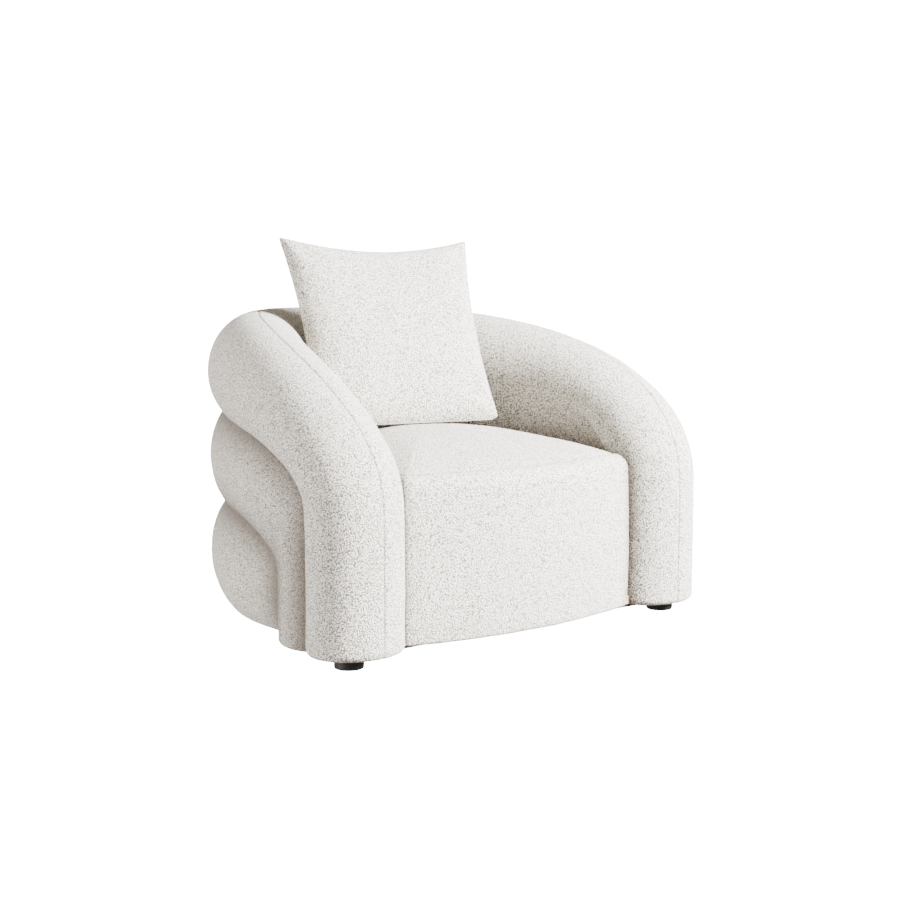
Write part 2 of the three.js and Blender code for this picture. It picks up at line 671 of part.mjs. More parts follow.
function buildSeatBox(group) {
  const railTop = railFoot + RAIL_HEIGHT;
  const frontInner = FRONT_RAIL_AT + RAIL_THICKNESS / 2 + CLEARANCE;
  const backInner = BACK_RAIL_AT - RAIL_THICKNESS / 2 - CLEARANCE;
  group.add(piece("seat_front_rail", frontRail(), timber()));
  const backRail = box(2 * BACK_RAIL_HALF, RAIL_THICKNESS, RAIL_HEIGHT, 0, BACK_RAIL_AT, railFoot);
  group.add(piece("seat_back_rail", backRail, timber()));
  for (const [side, sign] of [["left", -1], ["right", 1]]) {
    const from = new THREE.Vector2(sign * (FRONT_RAIL_HALF - RAIL_THICKNESS / 2), frontInner);
    const to = new THREE.Vector2(sign * (BACK_RAIL_HALF - RAIL_THICKNESS / 2), backInner);
    const rail = slantedRail(from, to, RAIL_THICKNESS, RAIL_HEIGHT, railFoot);
    group.add(piece(`seat_${side}_rail`, rail, timber()));
    const gap = RAIL_THICKNESS + 2 * CLEARANCE;
    const frontX = sign * (FRONT_RAIL_HALF - gap - 17);
    const backX = sign * (BACK_RAIL_HALF - gap - 2);
    const frontBlock = solid(cornerBlock(frontX, frontInner, -sign, 1));
    const backBlock = solid(cornerBlock(backX, backInner, -sign, -1));
    group.add(piece(`front_${side}_corner_block`, frontBlock, timber()));
    group.add(piece(`back_${side}_corner_block`, backBlock, timber()));
  }
  const span = backInner - frontInner;
  const centre = box(RAIL_THICKNESS, span, RAIL_HEIGHT / 2, 0, frontInner + span / 2, railFoot);
  group.add(piece("seat_centre_rail", centre, timber()));
  const springHeight = railTop + 5;
  const springFrom = FRONT_RAIL_AT - 3;
  const springTo = BACK_RAIL_AT + 3;
  for (let i = 0; i < SPRING_COUNT; i += 1) {
    const x = (i - (SPRING_COUNT - 1) / 2) * SPRING_SPACING;
    const clipBottom = railTop + CLEARANCE;
    const spring = zigzagSpring(x, springFrom, springTo, springHeight);
    group.add(piece(`seat_spring_${i + 1}`, spring, steel()));
    const frontClip = solid(springClip(x, FRONT_RAIL_AT, clipBottom, 1));
    const backClip = solid(springClip(x, BACK_RAIL_AT, clipBottom, -1));
    group.add(piece(`front_spring_clip_${i + 1}`, frontClip, steel()));
    group.add(piece(`back_spring_clip_${i + 1}`, backClip, steel()));
  }
  const felting = seatSolid(slabProfile(BORDER_FOAM + COVER + 2, DECK_HEIGHT - FELT, DECK_HEIGHT));
  group.add(piece("seat_felt", felting, felt()));
}

function buildSeatPadding(group) {
  const rollRoom = (grow) => rollSolid(topRoll, { grow, foot: -20 });
  const crossRoom = [FRONT_CROSS_AT, BACK_RAIL_AT].map((at) =>
    crossPlate(at, widthBetweenPlates(at), CLEARANCE),
  );
  const outer = seatSolid(seatProfile(0, UNDERSIDE)).subtract(rollRoom(CLEARANCE));
  const hollow = seatSolid(seatProfile(COVER, -20)).subtract(rollRoom(CLEARANCE + COVER));
  group.add(piece("seat_cover", cut(outer, [hollow, ...crossRoom]), boucle()));

  const inset = COVER + CLEARANCE;
  const block = seatSolid(seatProfile(inset, DECK_HEIGHT + CLEARANCE));
  group.add(piece("seat_foam", block.subtract(rollRoom(CLEARANCE + inset)), foam()));
  const ringOuter = seatSolid(slabProfile(inset, railFoot + CLEARANCE, DECK_HEIGHT));
  const ringInner = seatSolid(slabProfile(inset + BORDER_FOAM, 0, DECK_HEIGHT + 20));
  const ring = cut(ringOuter, [ringInner, rollRoom(CLEARANCE + inset)]);
  group.add(piece("seat_border_foam", ring, foam()));
}

function buildUnderside(group) {
  const shape = new THREE.Shape();
  const steps = 36;
  const start = -30;
  for (let i = 0; i <= steps; i += 1) {
    const at = onPlan(THREE.MathUtils.lerp(start, 2 * HALF_LENGTH - start, i / steps), DUST_EDGE, 0);
    if (i === 0) shape.moveTo(at.x, at.y);
    else shape.lineTo(at.x, at.y);
  }
  shape.lineTo(0, -SEAT_FRONT_MIDDLE + DUST_SETBACK);
  shape.closePath();
  const sheet = new THREE.ExtrudeGeometry(shape, { depth: DUST_SHEET, bevelEnabled: false });
  sheet.translate(0, 0, UNDERSIDE - CLEARANCE - DUST_SHEET);
  group.add(piece("dust_cover", sheet, darkCloth()));

  for (const foot of footPlaces) {
    const name = `${foot.end}_${foot.side}_foot`;
    const at = onPlan(foot.along, foot.out, 0);
    const top = PLATE_HEIGHT - CLEARANCE;
    const profile = [new THREE.Vector2(0, 0), new THREE.Vector2(FOOT_RADIUS - FOOT_ROUND, 0)];
    for (let i = 1; i <= 3; i += 1) {
      const angle = (i / 3) * (Math.PI / 2);
      const x = FOOT_RADIUS - FOOT_ROUND + FOOT_ROUND * Math.sin(angle);
      profile.push(new THREE.Vector2(x, FOOT_ROUND * (1 - Math.cos(angle))));
    }
    profile.push(new THREE.Vector2(FOOT_RADIUS, top), new THREE.Vector2(0, top));
    const disc = solid(new THREE.LatheGeometry(profile, 20).rotateX(Math.PI / 2));
    const headTop = SCREW_RECESS + SCREW_HEAD;
    const recess = solid(cylinder(SCREW_HEAD_RADIUS + CLEARANCE, -1, headTop + CLEARANCE, 12));
    const bore = solid(cylinder(SCREW_RADIUS + CLEARANCE, -1, top + 1, 8));
    const pad = piece(name, cut(disc, [recess, bore]), darkPlastic());
    pad.position.set(at.x, at.y, 0);
    group.add(pad);

    const head = solid(cylinder(SCREW_HEAD_RADIUS, SCREW_RECESS, headTop, 12));
    const shank = solid(cylinder(SCREW_RADIUS, SCREW_RECESS + 1, plateTop - 2, 8));
    const screw = piece(`${name}_screw`, head.add(shank), steel());
    screw.position.set(at.x, at.y, 0);
    group.add(screw);
  }
}

// ---------------------------------------------------------------- loose cushion

// A square pillow form standing on its lower edge, thick in the middle and thin at the seam.
function pillow(shrink, edgeInset) {
  const side = CUSHION_SIDE - 2 * edgeInset;
  const sheet = new THREE.BoxGeometry(1, 1, 1, CUSHION_CELLS, 1, CUSHION_CELLS);
  const halfEdge = CUSHION_EDGE / 2 - shrink;
  const halfMiddle = CUSHION_THICKNESS / 2 - shrink;
  return reshape(sheet, (vertex) => {
    const u = 2 * vertex.x;
    const v = 2 * vertex.z;
    const crown = Math.sqrt(Math.max(1 - u ** 4, 0) * Math.max(1 - v ** 4, 0)) ** 1.1;
    const half = halfEdge + (halfMiddle - halfEdge) * crown;
    const sideWaist = 1 - CUSHION_WAIST * (1 - v ** 2);
    const topWaist = v > 0 ? v * CUSHION_WAIST * (1 - u ** 2) : 0;
    const up = edgeInset + (side * (v + 1)) / 2 - side * topWaist;
    return new THREE.Vector3((side / 2) * u * sideWaist, 2 * half * vertex.y, up);
  });
}

// How far the cushion has to come forwards before it clears the top roll.
function slideForwards(cushion) {
  cushion.updateMatrixWorld(true);
  const standing = solid(pillow(0, 0).applyMatrix4(cushion.matrixWorld));
  const roll = rollSolid(topRoll, { grow: CLEARANCE });
  let shift = 0;
  while (shift < CUSHION_SIDE && standing.translate(0, -shift, 0).intersect(roll).volume() > 0) shift += 4;
  return shift;
}

function buildCushion() {
  const cushion = new THREE.Group();
  cushion.position.set(CUSHION_ASIDE, backLine - CUSHION_FROM_BACK, SEAT_CROWN + CUSHION_LIFT);
  cushion.rotation.set(-CUSHION_LEAN, 0, CUSHION_TURN, "ZXY");
  cushion.position.y -= slideForwards(cushion);
  const seam = 4;
  const mouth = solid(box(ZIP_LENGTH + 2 * CLEARANCE, ZIP_TAPE + 2 * CLEARANCE, 20, 0, 0, -10));
  const shell = cut(solid(pillow(0, 0)), [solid(pillow(CUSHION_COVER, seam)), mouth]);
  cushion.add(piece("cushion_cover", shell, boucle()));
  const fill = solid(pillow(CUSHION_COVER + CLEARANCE / 2, seam + ZIP_DROP));
  cushion.add(piece("cushion_insert", fill, felt()));
  const tape = box(ZIP_LENGTH, ZIP_TAPE, seam + ZIP_DROP, 0, 0, -ZIP_DROP);
  cushion.add(piece("cushion_zip", tape, zipPlastic()));
  const start = -ZIP_LENGTH / 2 + SLIDER_LENGTH / 2;
  const block = solid(box(SLIDER_LENGTH, SLIDER_WIDTH, SLIDER_DEPTH, start, 0, -SLIDER_DEPTH - CLEARANCE));
  const groove = solid(box(SLIDER_LENGTH + 2, ZIP_TAPE + 2 * CLEARANCE, 20, start, 0, -ZIP_DROP - CLEARANCE));
  cushion.add(piece("cushion_zip_slider", block.subtract(groove), steel()));
  return cushion;
}

// ---------------------------------------------------------------- assembly

const armchair = new THREE.Group();
buildRolls(armchair);
buildInsideLining(armchair);
buildCarcass(armchair);
buildSeatBox(armchair);
buildSeatPadding(armchair);
buildUnderside(armchair);
armchair.add(buildCushion());

export default armchair;
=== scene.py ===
"""A lounge armchair of stacked padded rolls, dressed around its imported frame.

The frame gives the hidden pieces: plywood, rails, springs, felt and screws. This script sets up the room,
sews the covers that are seen, stuffs the loose cushion, fits its zip and turns the feet.
Lengths are metres, +Z is up and the chair faces -Y.
"""

import json
import logging
import math
from dataclasses import dataclass, field
from enum import Enum
from typing import Any, Callable, Optional, Sequence, Union

import bmesh
import bpy
import numpy as np
from mathutils import Matrix, Vector, noise
from mathutils.kdtree import KDTree


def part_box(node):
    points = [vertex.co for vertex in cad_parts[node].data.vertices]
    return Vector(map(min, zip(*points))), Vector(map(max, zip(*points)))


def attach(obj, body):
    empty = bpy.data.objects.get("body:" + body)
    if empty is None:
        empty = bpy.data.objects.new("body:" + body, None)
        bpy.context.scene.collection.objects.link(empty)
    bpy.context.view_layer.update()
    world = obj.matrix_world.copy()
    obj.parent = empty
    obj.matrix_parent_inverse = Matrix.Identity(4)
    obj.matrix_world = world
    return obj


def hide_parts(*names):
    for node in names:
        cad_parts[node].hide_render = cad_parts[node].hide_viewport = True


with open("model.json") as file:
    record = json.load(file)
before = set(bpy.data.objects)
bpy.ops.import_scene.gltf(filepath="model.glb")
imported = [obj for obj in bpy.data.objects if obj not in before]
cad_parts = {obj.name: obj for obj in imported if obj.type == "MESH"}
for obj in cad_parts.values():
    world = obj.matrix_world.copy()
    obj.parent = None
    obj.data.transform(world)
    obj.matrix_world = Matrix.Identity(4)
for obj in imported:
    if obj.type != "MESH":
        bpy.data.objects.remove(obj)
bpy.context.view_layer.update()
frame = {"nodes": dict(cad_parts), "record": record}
log = logging.getLogger("armchair")

Number = Union[int, float]

# How far each cover's painted crease shade fades out, in metres, and how steeply.
PAINTED_CREASE_REACH = {"top_roll": 0.012, "middle_roll": 0.048, "bottom_roll": 0.048,
                "inside_lining": 0.055, "seat": 0.016}
PAINTED_CREASE_FALL = 1.4


# ------------------------------------------------------------------ shader maths


class Wire:
    """A value socket that can be used in a Python expression."""

    def __init__(self, recipe: "Recipe", socket: bpy.types.NodeSocket) -> None:
        """Keeps the socket and the recipe that owns its node."""
        self.recipe = recipe
        self.socket = socket

    def _maths(self, operation: str, *values: Union["Wire", Number]) -> "Wire":
        """Adds one Math node.

        Args:
            operation: the node's operation.
            values: its inputs, in order.

        Returns:
            The node's value.
        """
        return self.recipe.node("ShaderNodeMath", {"operation": operation}, dict(enumerate(values)))

    def __add__(self, other: Union["Wire", Number]) -> "Wire":
        """Sum."""
        return self._maths("ADD", self, other)

    def __rsub__(self, other: Union["Wire", Number]) -> "Wire":
        """Difference with this value taken away."""
        return self._maths("SUBTRACT", other, self)

    def __mul__(self, other: Union["Wire", Number]) -> "Wire":
        """Product."""
        return self._maths("MULTIPLY", self, other)

    def clamp(self) -> "Wire":
        """The value held between 0 and 1."""
        return self._maths("MINIMUM", self._maths("MAXIMUM", self, 0.0), 1.0)


class Recipe:
    """Builds one node material."""

    def __init__(self, name: str) -> None:
        """Starts an empty material that ends in one Principled shader."""
        self.material = bpy.data.materials.new(name)
        self.material.use_nodes = True
        self.tree = self.material.node_tree
        self.tree.nodes.clear()
        self.output = self.tree.nodes.new("ShaderNodeOutputMaterial")
        self.shader = self.tree.nodes.new("ShaderNodeBsdfPrincipled")
        self.tree.links.new(self.shader.outputs[0], self.output.inputs[0])
        self.place = self.node("ShaderNodeTexCoord", {}, {}, "Object")

    def node(
        self,
        kind: str,
        settings: dict[str, Any],
        inputs: dict[Union[str, int], Any],
        output: Union[str, int] = 0,
    ) -> Wire:
        """Adds one node.

        Args:
            kind: the node's type.
            settings: its own settings, set before its sockets. "stops" fills a colour ramp.
            inputs: values or wires for its sockets, by name or number.
            output: which of its outputs is wanted.

        Returns:
            The chosen output.
        """
        made = self.tree.nodes.new(kind)
        for key, value in settings.items():
            if key == "stops":
                self._fill_ramp(made.color_ramp, value)
            else:
                setattr(made, key, value)
        for key, value in inputs.items():
            self.feed(made.inputs[key], value)
        return Wire(self, made.outputs[output])

    @staticmethod
    def _fill_ramp(ramp: bpy.types.ColorRamp, stops: Sequence[tuple[float, Sequence[float]]]) -> None:
        """Sets a ramp's stops.

        Args:
            ramp: the ramp.
            stops: pairs of place and colour.
        """
        while len(ramp.elements) < len(stops):
            ramp.elements.new(0.5)
        for element, (place, colour) in zip(ramp.elements, stops):
            element.position = place
            element.color = (*colour[:3], 1.0)

    def feed(self, socket: bpy.types.NodeSocket, value: Any) -> None:
        """Links a wire to a socket, or sets its value."""
        if isinstance(value, Wire):
            self.tree.links.new(value.socket, socket)
        else:
            socket.default_value = value

    def mix(self, share: Any, low: Any, high: Any) -> Wire:
        """Blends two colours.

        Args:
            share: 0 for the first, 1 for the second.
            low: the first colour, or a wire.
            high: the second colour, or a wire.

        Returns:
            The blended colour.
        """
        paint = {0: share, 6: self.colour(low), 7: self.colour(high)}
        return self.node("ShaderNodeMix", {"data_type": "RGBA"}, paint, 2)

    @staticmethod
    def colour(value: Any) -> Any:
        """A colour with its alpha, or the wire that was given."""
        return value if isinstance(value, Wire) else (*value, 1.0)

    def ramp(self, value: Wire, low: float, high: float) -> Wire:
        """The value's place between two limits, held to 0 and 1."""
        limits = {"Value": value, "From Min": low, "From Max": high}
        return self.node("ShaderNodeMapRange", {"clamp": True}, limits)

    def noise(self, scale: float, detail: float = 2.0, rough: float = 0.5, at: Optional[Wire] = None) -> Wire:
        """Cloudy noise between 0 and 1, at so many waves a metre."""
        sockets = {"Vector": at or self.place, "Scale": scale, "Detail": detail, "Roughness": rough}
        return self.node("ShaderNodeTexNoise", {}, sockets)

    def stretched(self, scale: tuple[float, float, float]) -> Wire:
        """Object coordinates, scaled along each axis."""
        return self.node("ShaderNodeMapping", {}, {"Vector": self.place, "Scale": scale})

    def bump(
        self,
        height: Wire,
        distance: float,
        strength: float = 1.0,
        under: Optional[Wire] = None,
    ) -> Wire:
        """A surface relief.

        Args:
            height: the relief, from 0 to 1.
            distance: how tall 1 is, in metres.
            strength: how much of it shows.
            under: a relief that it lies on.

        Returns:
            The normal.
        """
        sockets = {"Height": height, "Distance": distance, "Strength": strength}
        if under:
            sockets["Normal"] = under
        return self.node("ShaderNodeBump", {}, sockets)

    def finish(self, **sockets: Any) -> bpy.types.Material:
        """Sets the shader's sockets, with spaces written as underscores.

        Args:
            sockets: values or wires.

        Returns:
            The material.
        """
        for key, value in sockets.items():
            self.feed(self.shader.inputs[key.replace("_", " ")], value)
        return self.material


# ------------------------------------------------------------------ finishes


@dataclass(frozen=True)
class Boucle:
    """Looped wool cloth: small curled nubs with pits between them, and shade painted into the pits and into
    the creases between covers.
    """

    wool: tuple[float, float, float] = (0.90, 0.862, 0.785)
    # The colour of the shade painted into the pits between the loops.
    painted_pit_shade: tuple[float, float, float] = (0.085, 0.066, 0.047)
    # The colour of the shade painted into the creases between covers.
    painted_crease_shade: tuple[float, float, float] = (0.085, 0.062, 0.044)
    nubs_per_metre: float = 410.0
    relief: float = 0.0017
    wander_waves: float = 330.0
    wander: float = 0.0016
    curl_ratio: float = 2.3
    yarn_waves: float = 1500.0
    lump_waves: float = 70.0
    lump_relief: float = 0.0016
    worn_waves: float = 120.0
    # How strongly the painted pit shade darkens the cloth.
    painted_pit_strength: float = 0.92
    # How strongly the painted crease shade darkens the cloth.
    painted_crease_strength: float = 0.92

    def material(self) -> bpy.types.Material:
        """The cloth's material."""
        r = Recipe("boucle_wool")
        drift = r.node("ShaderNodeTexNoise", {}, {
            "Vector": r.place, "Scale": self.wander_waves, "Detail": 2.0}, 1)
        shaken = r.node("ShaderNodeVectorMath", {"operation": "SCALE"}, {
            0: drift, "Scale": self.wander})
        path = r.node("ShaderNodeVectorMath", {"operation": "ADD"}, {0: r.place, 1: shaken})
        loops = r.node("ShaderNodeTexVoronoi", {"feature": "SMOOTH_F1"}, {
            "Vector": path, "Scale": self.nubs_per_metre, "Smoothness": 0.25, "Randomness": 1.0})
        fine = r.node("ShaderNodeTexVoronoi", {}, {
            "Vector": path, "Scale": self.nubs_per_metre * self.curl_ratio})
        yarn = r.noise(self.yarn_waves, 1.0, 0.6)
        lumps = r.noise(self.lump_waves, 2.0)
        seam = r.node("ShaderNodeAttribute", {"attribute_name": "seam"}, {}, "Fac")
        nub = 1.0 - r.ramp(loops, 0.08, 0.70)
        height = (nub * 0.85 + (1.0 - fine) * 0.10 + yarn * 0.08) * (1.0 - seam * 0.6)
        worn = r.ramp(r.noise(self.worn_waves, 2.0), 0.15, 0.60) * 0.10 + 0.90
        # Painted shade: the crease attribute darkens the cloth where covers meet.
        crease = r.node("ShaderNodeAttribute", {"attribute_name": "crease"}, {}, "Fac")
        # Painted shade in the pits between the loops, with a darker line along the seam.
        pit_shade_and_seam_mask = (r.ramp(loops, 0.34, 0.62) * worn + seam * 0.45).clamp()
        cloth = r.mix(r.ramp(lumps, 0.3, 0.7), tuple(c * 0.95 for c in self.wool), self.wool)
        pit_shaded = r.mix(pit_shade_and_seam_mask * self.painted_pit_strength, cloth, self.painted_pit_shade)
        shade = r.mix(crease * self.painted_crease_strength, pit_shaded, self.painted_crease_shade)
        soft = r.bump(lumps, self.lump_relief, 0.5)
        return r.finish(
            Base_Color=shade,
            Roughness=0.94,
            Sheen_Weight=0.15,
            Sheen_Roughness=0.55,
            Specular_IOR_Level=0.15,
            Normal=r.bump(height, self.relief, 1.0, soft),
        )


@dataclass(frozen=True)
class Wood:
    """Plain sawn wood or plywood with a grain along one direction."""

    name: str
    light: tuple[float, float, float]
    dark: tuple[float, float, float]
    grain: tuple[float, float, float] = (18.0, 18.0, 140.0)

    def material(self) -> bpy.types.Material:
        """The wood's material."""
        r = Recipe(self.name)
        along = r.stretched(self.grain)
        lines = r.noise(1.0, 4.0, 0.6, along)
        pores = r.noise(6.0, 2.0, 0.6, along)
        tone = r.mix(r.ramp(lines, 0.35, 0.68), self.light, self.dark)
        return r.finish(Base_Color=tone, Roughness=r.ramp(pores, -1.0, 2.2),
                        Normal=r.bump(pores, 0.0006, 0.5))


@dataclass(frozen=True)
class Foam:
    """Open cell foam, slightly yellowed."""

    name: str = "upholstery_foam"
    tone: tuple[float, float, float] = (0.83, 0.77, 0.52)
    cells: float = 900.0

    def material(self) -> bpy.types.Material:
        """The foam's material."""
        r = Recipe(self.name)
        cells = r.node("ShaderNodeTexVoronoi", {}, {"Vector": r.place, "Scale": self.cells})
        tone = r.mix(r.ramp(cells, 0.1, 0.9), self.tone, tuple(c * 0.8 for c in self.tone))
        return r.finish(Base_Color=tone, Roughness=0.95, Normal=r.bump(cells, 0.0008, 0.6))


@dataclass(frozen=True)
class Metal:
    """Drawn or stamped steel."""

    name: str = "spring_steel"
    tone: tuple[float, float, float] = (0.46, 0.47, 0.49)
    rough: float = 0.32

    def material(self) -> bpy.types.Material:
        """The metal's material."""
        r = Recipe(self.name)
        scuffs = r.noise(260.0, 3.0, 0.6)
        low, high = self.rough * 0.8, self.rough * 1.5
        rough = r.node("ShaderNodeMapRange", {}, {"Value": scuffs, "To Min": low, "To Max": high})
        return r.finish(Base_Color=(*self.tone, 1.0), Metallic=1.0, Roughness=rough,
                        Normal=r.bump(scuffs, 0.0001, 0.4))


@dataclass(frozen=True)
class Plastic:
    """Moulded plastic with a fine spark texture."""

    name: str
    tone: tuple[float, float, float]
    rough: float = 0.42

    def material(self) -> bpy.types.Material:
        """The plastic's material."""
        r = Recipe(self.name)
        spark = r.noise(1400.0, 2.0, 0.6)
        wear = r.noise(45.0, 3.0, 0.6)
        rough = r.node("ShaderNodeMapRange", {}, {"Value": wear, "To Min": self.rough * 0.85,
                                                  "To Max": self.rough * 1.25})
        tone = r.mix(r.ramp(wear, 0.3, 0.8), self.tone, tuple(c * 1.3 + 0.001 for c in self.tone))
        return r.finish(Base_Color=tone, Roughness=rough, Specular_IOR_Level=0.35,
                        Normal=r.bump(spark, 0.00012, 0.5))


@dataclass(frozen=True)
class Cloth:
    """A plain close weave or felt, for the hidden textiles."""

    name: str
    tone: tuple[float, float, float]
    threads: float = 700.0

    def material(self) -> bpy.types.Material:
        """The cloth's material."""
        r = Recipe(self.name)
        threads = {"Vector": r.place, "Scale": self.threads, "Distortion": 1.5}
        warp, weft = (r.node("ShaderNodeTexWave", {"wave_type": "BANDS", "bands_direction": way}, threads, 1)
                      for way in ("X", "Y"))
        weave = (warp + weft) * 0.5
        fluff = r.noise(160.0, 3.0, 0.6)
        tone = r.mix(r.ramp(fluff, 0.3, 0.7), self.tone, tuple(c * 0.8 for c in self.tone))
        return r.finish(Base_Color=tone, Roughness=0.93,
                        Normal=r.bump(weave * 0.6 + fluff * 0.4, 0.0005, 0.6))


# ------------------------------------------------------------------ mesh helpers


def only(piece: bpy.types.Object) -> None:
    """Selects one object and makes it the active one."""
    if bpy.context.object and bpy.context.object.mode != "OBJECT":
        bpy.ops.object.mode_set(mode="OBJECT")
    bpy.ops.object.select_all(action="DESELECT")
    piece.select_set(True)
    bpy.context.view_layer.objects.active = piece


def fresh(name: str, add: Callable[..., Any], **settings: Any) -> bpy.types.Object:
    """Adds one primitive with nothing else selected.

    Args:
        name: the new piece's name.
        add: the primitive's operator.
        settings: its settings.

    Returns:
        The piece.
    """
    bpy.ops.object.select_all(action="DESELECT")
    add(**settings)
    piece = bpy.context.object
    piece.name = piece.data.name = name
    return piece


def weld(threshold: float) -> None:
    """Joins the doubled corners of the mesh that is being edited."""
    bpy.ops.mesh.select_all(action="SELECT")
    bpy.ops.mesh.remove_doubles(threshold=threshold)


def face_outwards() -> None:
    """Turns the edited mesh's faces outwards and leaves edit mode."""
    bpy.ops.mesh.select_all(action="SELECT")
    bpy.ops.mesh.normals_make_consistent(inside=False)
    bpy.ops.object.mode_set(mode="OBJECT")


def places(piece: bpy.types.Object) -> np.ndarray:
    """A mesh's vertex places as an (n, 3) array."""
    flat = np.empty(3 * len(piece.data.vertices))
    piece.data.vertices.foreach_get("co", flat)
    return flat.reshape(-1, 3)


def set_places(piece: bpy.types.Object, where: np.ndarray) -> None:
    """Moves a mesh's vertices to new places."""
    piece.data.vertices.foreach_set("co", np.ascontiguousarray(where, dtype=np.float64).ravel())
    piece.data.update()


def normals(piece: bpy.types.Object) -> np.ndarray:
    """A mesh's vertex normals as an (n, 3) array."""
    piece.data.update()
    return np.array([v.normal[:] for v in piece.data.vertices])


def tube_of_cloth(name: str, rows: np.ndarray) -> bpy.types.Object:
    """Rolls a flat sheet of cloth into a tube and closes its ends.

    Args:
        name: the new piece's name.
        rows: places of shape (stations, sides, 3), the sides once round.

    Returns:
        The piece, its faces pointing outwards.
    """
    stations, sides, _ = rows.shape
    piece = fresh(name, bpy.ops.mesh.primitive_grid_add,
                  x_subdivisions=sides, y_subdivisions=stations - 1, size=1.0)
    wrapped = np.concatenate([rows, rows[:, :1]], axis=1)
    set_places(piece, wrapped.reshape(-1, 3))
    bpy.ops.object.mode_set(mode="EDIT")
    weld(1e-6)
    bpy.ops.mesh.fill_holes(sides=0)
    face_outwards()
    return piece


def round_off(piece: bpy.types.Object) -> None:
    """Shades a piece smooth."""
    only(piece)
    bpy.ops.object.shade_smooth()


def dress(piece: bpy.types.Object, material: bpy.types.Material) -> None:
    """Gives a finished piece its one material, and logs it."""
    piece.data.materials.clear()
    piece.data.materials.append(material)
    log.info("%s: %d faces", piece.name, len(piece.data.polygons))


def ripple(where: np.ndarray, waves: float, seed: float) -> np.ndarray:
    """Soft noise at each place.

    Args:
        where: places of shape (n, 3).
        waves: waves a metre.
        seed: an offset that makes each piece different.

    Returns:
        One value for each place, roughly between -1 and 1.
    """
    shift = Vector((seed, 1.7 * seed, -0.6 * seed))
    return np.array([noise.noise(Vector(p) * waves + shift) for p in where])


def remember(piece: bpy.types.Object, name: str, values: np.ndarray) -> None:
    """Stores one number a vertex under a name that a material can read."""
    layer = piece.data.attributes.new(name, "FLOAT", "POINT")
    layer.data.foreach_set("value", np.ascontiguousarray(values, dtype=np.float32))


def gaps(where: np.ndarray, others: np.ndarray) -> np.ndarray:
    """Distance from each place to the nearest of some other places."""
    tree = KDTree(len(others))
    for i, place in enumerate(others):
        tree.insert(place, i)
    tree.balance()
    return np.array([tree.find(place)[2] for place in where])


def both_halves(left: np.ndarray) -> np.ndarray:
    """Rows of the left half and, past the middle, their mirror images."""
    right = left[::-1][1:] * np.array([-1.0, 1.0, 1.0])
    return np.concatenate([left, right])


def smooth_step(value: np.ndarray, low: float, high: float) -> np.ndarray:
    """A value's place between two limits, eased at both ends."""
    share = np.clip((value - low) / (high - low), 0.0, 1.0)
    return share * share * (3.0 - 2.0 * share)


# ------------------------------------------------------------------ plan and rolls


@dataclass
class Plan:
    """The horseshoe line that the rolls, the lining and the seat follow, seen from above."""

    depth: float = 0.988
    post_spacing: float = 0.840
    roll_front: float = 0.087
    roll_back: float = 0.115
    splay: float = math.radians(2.0)
    corner_depth: float = 0.383
    back_reach: float = 0.141
    samples: int = 4000
    half: float = field(init=False)

    def __post_init__(self) -> None:
        """Samples the left half of the line by its length."""
        self.post_line = -self.depth / 2 + self.roll_front
        self.back_line = self.depth / 2 - self.roll_back
        arm = self.back_line - self.post_line - self.corner_depth
        post = np.array([-self.post_spacing / 2, self.post_line])
        pull = post + arm * np.array([-math.sin(self.splay), math.cos(self.splay)])
        ends = [post, pull, np.array([-self.back_reach, self.back_line]), np.array([0.0, self.back_line])]
        t = np.linspace(0.0, 1.0, self.samples)[:, None]
        line = ((1 - t) ** 3 * ends[0] + 3 * (1 - t) ** 2 * t * ends[1]
                + 3 * (1 - t) * t**2 * ends[2] + t**3 * ends[3])
        step = np.linalg.norm(np.diff(line, axis=0), axis=1)
        self._length = np.concatenate([[0.0], np.cumsum(step)])
        self._line = line
        heading = np.gradient(line, self._length, axis=0)
        self._heading = heading / np.linalg.norm(heading, axis=1)[:, None]
        self.half = float(self._length[-1])

    def lay(self, along: np.ndarray, out: np.ndarray, up: np.ndarray) -> np.ndarray:
        """Lays points of roll space on the plan.

        Args:
            along: distance from the left post round to the right one.
            out: distance outwards from the line.
            up: height above the floor.

        Returns:
            Places, with one more axis of 3.
        """
        along, out, up = np.broadcast_arrays(along, out, up)
        mirrored = along > self.half
        run = np.where(mirrored, 2 * self.half - along, along)
        held = np.clip(run, 0.0, self.half)
        px, py = (np.interp(held, self._length, self._line[:, i]) for i in (0, 1))
        hx, hy = (np.interp(held, self._length, self._heading[:, i]) for i in (0, 1))
        ahead = np.minimum(run, 0.0)
        x = px + hx * ahead - hy * out
        y = py + hy * ahead + hx * out
        return np.stack([np.where(mirrored, -x, x), y, up], axis=-1)


@dataclass
class Edge:
    """One edge of a roll from the side: up the post, round the bend, then level to the back."""

    start: float
    knee: float
    crest: float
    run: float
    power: float

    def sampled(self, foot: float, half: float) -> tuple[np.ndarray, np.ndarray]:
        """The edge as a fine line.

        Args:
            foot: the height where it starts.
            half: the plan's half length, where it ends.

        Returns:
            Each point's share of the edge's length, and the points.
        """
        angle = np.linspace(0.0, math.pi / 2, 800)
        across = 1 - np.maximum(np.cos(angle), 0.0) ** (2 / self.power)
        rise = np.sin(angle) ** (2 / self.power)
        bend = np.stack([self.start + self.run * across, self.knee + (self.crest - self.knee) * rise], axis=1)
        line = np.concatenate([[[self.start, foot]], bend, [[half, self.crest]]])
        step = np.linalg.norm(np.diff(line, axis=0), axis=1)
        length = np.concatenate([[0.0], np.cumsum(step)])
        return length / length[-1], line


class Lie(Enum):
    """Which way a padded roll lies."""

    SWEPT = "sweeps down into the posts"
    LEVEL = "lies level"


